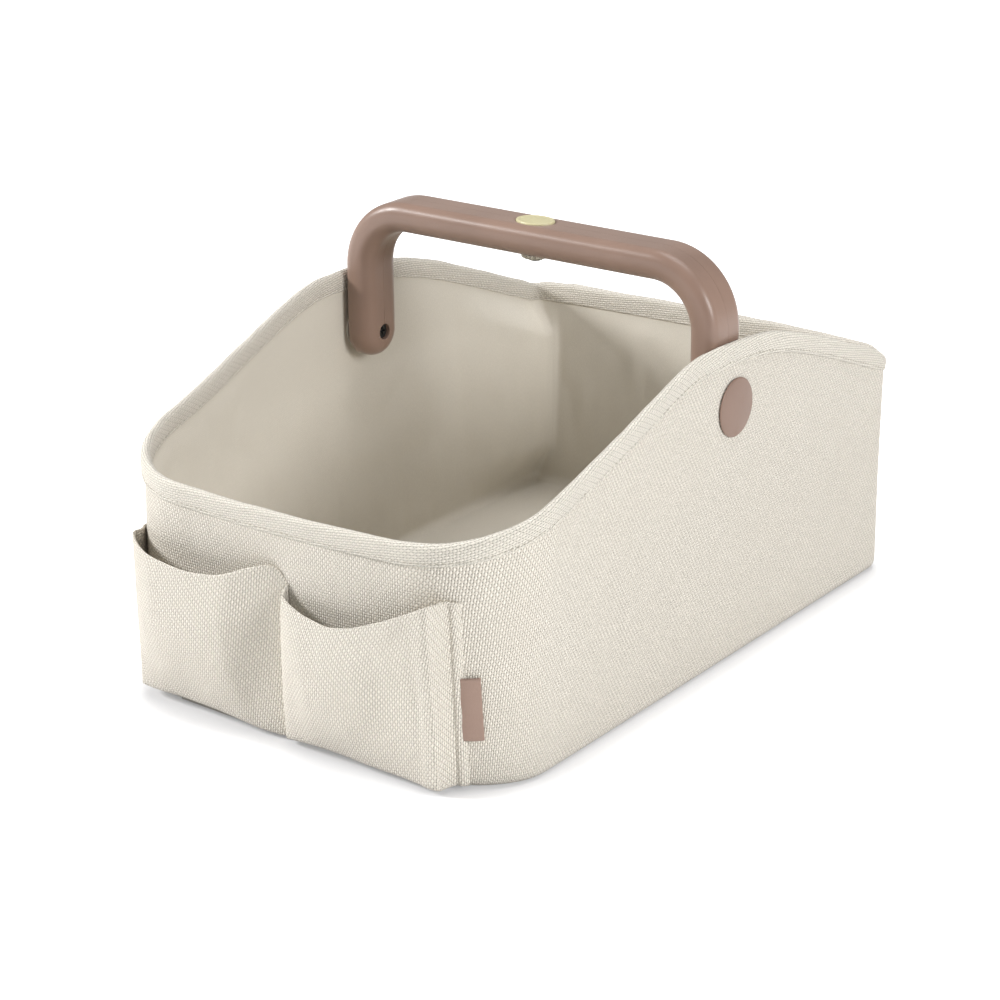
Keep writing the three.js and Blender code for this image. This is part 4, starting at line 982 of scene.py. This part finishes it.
def pin(name, axis, radius, start, end, middle, sides=64, depth_radius=None):
    """A round or oval cutter along an axis from start to end; middle gives the other two places."""
    bm = bmesh.new()
    rings = []
    for along in (start, end):
        row = []
        for k in range(sides):
            angle = 2 * pi * k / sides
            across, deep = radius * cos(angle), (depth_radius or radius) * sin(angle)
            spot = [middle[0] + across, middle[1] + deep]
            spot.insert("xyz".index(axis), along)
            row.append(bm.verts.new(spot))
        rings.append(row)
    for k in range(sides):
        n = (k + 1) % sides
        bm.faces.new((rings[0][k], rings[0][n], rings[1][n], rings[1][k]))
    bm.faces.new(rings[0][::-1])
    bm.faces.new(rings[1])
    bmesh.ops.recalc_face_normals(bm, faces=bm.faces)
    return plain_object(name, bm)


def carve(ob, cutters, operation="DIFFERENCE"):
    """Cuts the object's mesh with other closed objects."""
    for cutter in cutters:
        step = ob.modifiers.new("cut", "BOOLEAN")
        step.operation, step.object, step.solver = operation, cutter, "EXACT"
    bpy.context.view_layer.update()
    shown = ob.evaluated_get(bpy.context.evaluated_depsgraph_get())
    result = bpy.data.meshes.new_from_object(shown)
    ob.modifiers.clear()
    ob.data = result


def finish_moulding(ob, node):
    """Gives a moulded piece its paint and clean normals, and seats it on the handle."""
    mesh = ob.data
    mesh.materials.clear()
    mesh.materials.append(mocha)
    mesh.polygons.foreach_set("use_smooth", [True] * len(mesh.polygons))
    mesh.polygons.foreach_set("material_index", [0] * len(mesh.polygons))
    mesh.set_sharp_from_angle(angle=radians(32))
    mesh.update()
    steady = ob.modifiers.new("steady_normals", "WEIGHTED_NORMAL")
    steady.keep_sharp = True
    steady.weight = 80
    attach(ob, "handle")
    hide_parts(node)


# Openings in the handle, in mm about the pivot
DOOR_OUTER, DOOR_INNER, DOOR_HALF, DOOR_GAP, DOOR_LIP = -80, -25.1, 10.9, 0.3, 1.7
BUTTON_HOLE, BUTTON_HOLE_DEPTH, LAMP_HOLE = 10.8, 8.55, 5.9
PIVOT_HOLES = (("bore", 5.3, 104.2, 130, 64), ("recess", 4.2, 90, 101.0, 64),
               ("shank_hole", 1.9, 99, 106, 32))
SHELL_SCREWS = ((-19.6, BAR_TOP - 8), (19.6, BAR_TOP - 8), (-LEG_MIDDLE, 30), (LEG_MIDDLE, 30))
HEAD_RADIUS, HEAD_SEAT, HEAD_SIDES = 2.6, 10.95, 48
DOOR_SCREW, DOOR_HEAD_RADIUS, DOOR_HEAD_SUNK = (-27.7, 4.0), 2.2, 1.3
SEAM_GAP, BEYOND = 0.05, 4


def handle_shells():
    """Both shells and the battery door, cut from one swept skin."""
    under = BAR_TOP - GRIP_HEIGHT
    seat = under + SHELL_WALL
    cavity = plain_object("cavity", bar_mesh(SHELL_WALL, CAVITY_FOOT, False))
    cutters = [cavity,
               pin("button_hole", "z", BUTTON_HOLE, BAR_TOP - 5, BAR_TOP + 5, (0, 0), TURN_SIDES,
                   BUTTON_HOLE_DEPTH),
               pin("lamp_hole", "z", LAMP_HOLE, under - BEYOND, seat + 2, (0, 0)),
               block("door_hole", (DOOR_OUTER, -DOOR_HALF, under - BEYOND),
                     (DOOR_INNER, DOOR_HALF, seat + 2))]
    for side in (-1, 1):
        for name, radius, start, end, sides in PIVOT_HOLES:
            cutters.append(pin(name, "x", radius, side * start, side * end, (0, 0), sides))
    for spot in SHELL_SCREWS:
        cutters.append(pin("head_hole", "y", HEAD_RADIUS, HEAD_SEAT, 20, spot, HEAD_SIDES))
    for name, node, low, high in (("handle_front_half", "handle_front_shell", -SEAM_GAP, 40),
                                  ("handle_rear_half", "handle_rear_shell", -40, SEAM_GAP)):
        shell = plain_object(name, bar_mesh(0.0, 0.0, True))
        other_half = block("other_half", (-130, low, -40), (130, high, 90))
        carve(shell, cutters + [other_half])
        bpy.data.objects.remove(other_half)
        finish_moulding(shell, node)
    door = plain_object("battery_hatch", bar_mesh(0.0, 0.0, True))
    half = DOOR_HALF - DOOR_GAP
    door_box = block("door_box", (DOOR_OUTER + DOOR_GAP, -half, under - BEYOND),
                     (DOOR_INNER - DOOR_GAP, half, seat + DOOR_LIP))
    head = pin("door_head", "z", DOOR_HEAD_RADIUS, under - BEYOND, under + DOOR_HEAD_SUNK, DOOR_SCREW,
               HEAD_SIDES)
    carve(door, [door_box], "INTERSECT")
    carve(door, [cavity, head])
    finish_moulding(door, "battery_door")
    for cutter in cutters + [door_box, head]:
        bpy.data.objects.remove(cutter)


handle_shells()


# -------- button and lamp
BUTTON_HALF, BUTTON_DEPTH_HALF = 10.5, 8.25
BUTTON_TOP = PIVOT_Z + BAR_TOP + 0.9
BUTTON_FORM = ((0.0, 3.4), (0.0, 0.62), (0.1, 0.36), (0.32, 0.16), (0.7, 0.05), (1.1, 0.02), (1.5, 0.1),
               (1.9, 0.2), (3.2, 0.2), (5.2, 0.14), (7.0, 0.1))


def oval_button():
    """An oval push button with a rounded edge and a slightly dished top."""
    skin = Skin()
    turn = np.linspace(0, 2 * pi, TURN_SIDES, endpoint=False)
    points = np.stack([np.stack([(BUTTON_HALF - inset) * np.cos(turn),
                                 PIVOT_Y + (BUTTON_DEPTH_HALF - inset) * np.sin(turn),
                                 np.full(TURN_SIDES, BUTTON_TOP - drop)], 1)
                       for inset, drop in BUTTON_FORM])
    index = skin.add_points(points)
    skin.quads(index, np.concatenate([points, points[:, :1]], 1)[..., :2], closed=True)
    skin.face(index[-1], points[-1, :, :2])
    skin.face(index[0][::-1], points[0, ::-1, :2])
    ob = skin.build("oval_button", button_paint, "button")
    ob.data.set_sharp_from_angle(angle=radians(50))
    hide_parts("light_button")


oval_button()

# Profiles of the lamp and its ring: (radius, height above the bar's underside)
LAMP_FACE = PIVOT_Z + BAR_TOP - GRIP_HEIGHT
LENS_FORM = [(0, -4.3), (1.5, -4.2), (2.9, -3.85), (4.0, -3.3), (4.8, -2.6), (5.2, -1.8), (5.6, -0.3),
             (5.6, 2.2), (6.9, 2.3), (6.9, 3.4), (0, 3.4)]
RING_FORM = [(5.75, -0.1), (5.6, -2.1), (6.3, -2.4), (7.0, -1.6), (7.4, -0.1), (5.75, -0.1)]
FLUTES, FLUTE_DEPTH, FLUTE_FROM = 14, 0.28, 6.0
lamp_axis = (0, PIVOT_Y, LAMP_FACE)
lens_piece = lathe("lamp_dome", LENS_FORM, lens, "z", lamp_axis, "handle")
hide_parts("lamp_lens")
bezel_piece = lathe("lamp_ring", round_corner(RING_FORM, 4, 0.3), nickel, "z", lamp_axis, "handle")
for vertex in bezel_piece.data.vertices:
    from_axis = Vector((vertex.co.x, vertex.co.y - (PIVOT_Y + SHIFT) * MM))
    turn = np.arctan2(from_axis.y, from_axis.x)
    if from_axis.length > FLUTE_FROM * MM:
        vertex.co.xy += from_axis.normalized() * FLUTE_DEPTH * MM * cos(FLUTES * turn)
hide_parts("lamp_bezel")
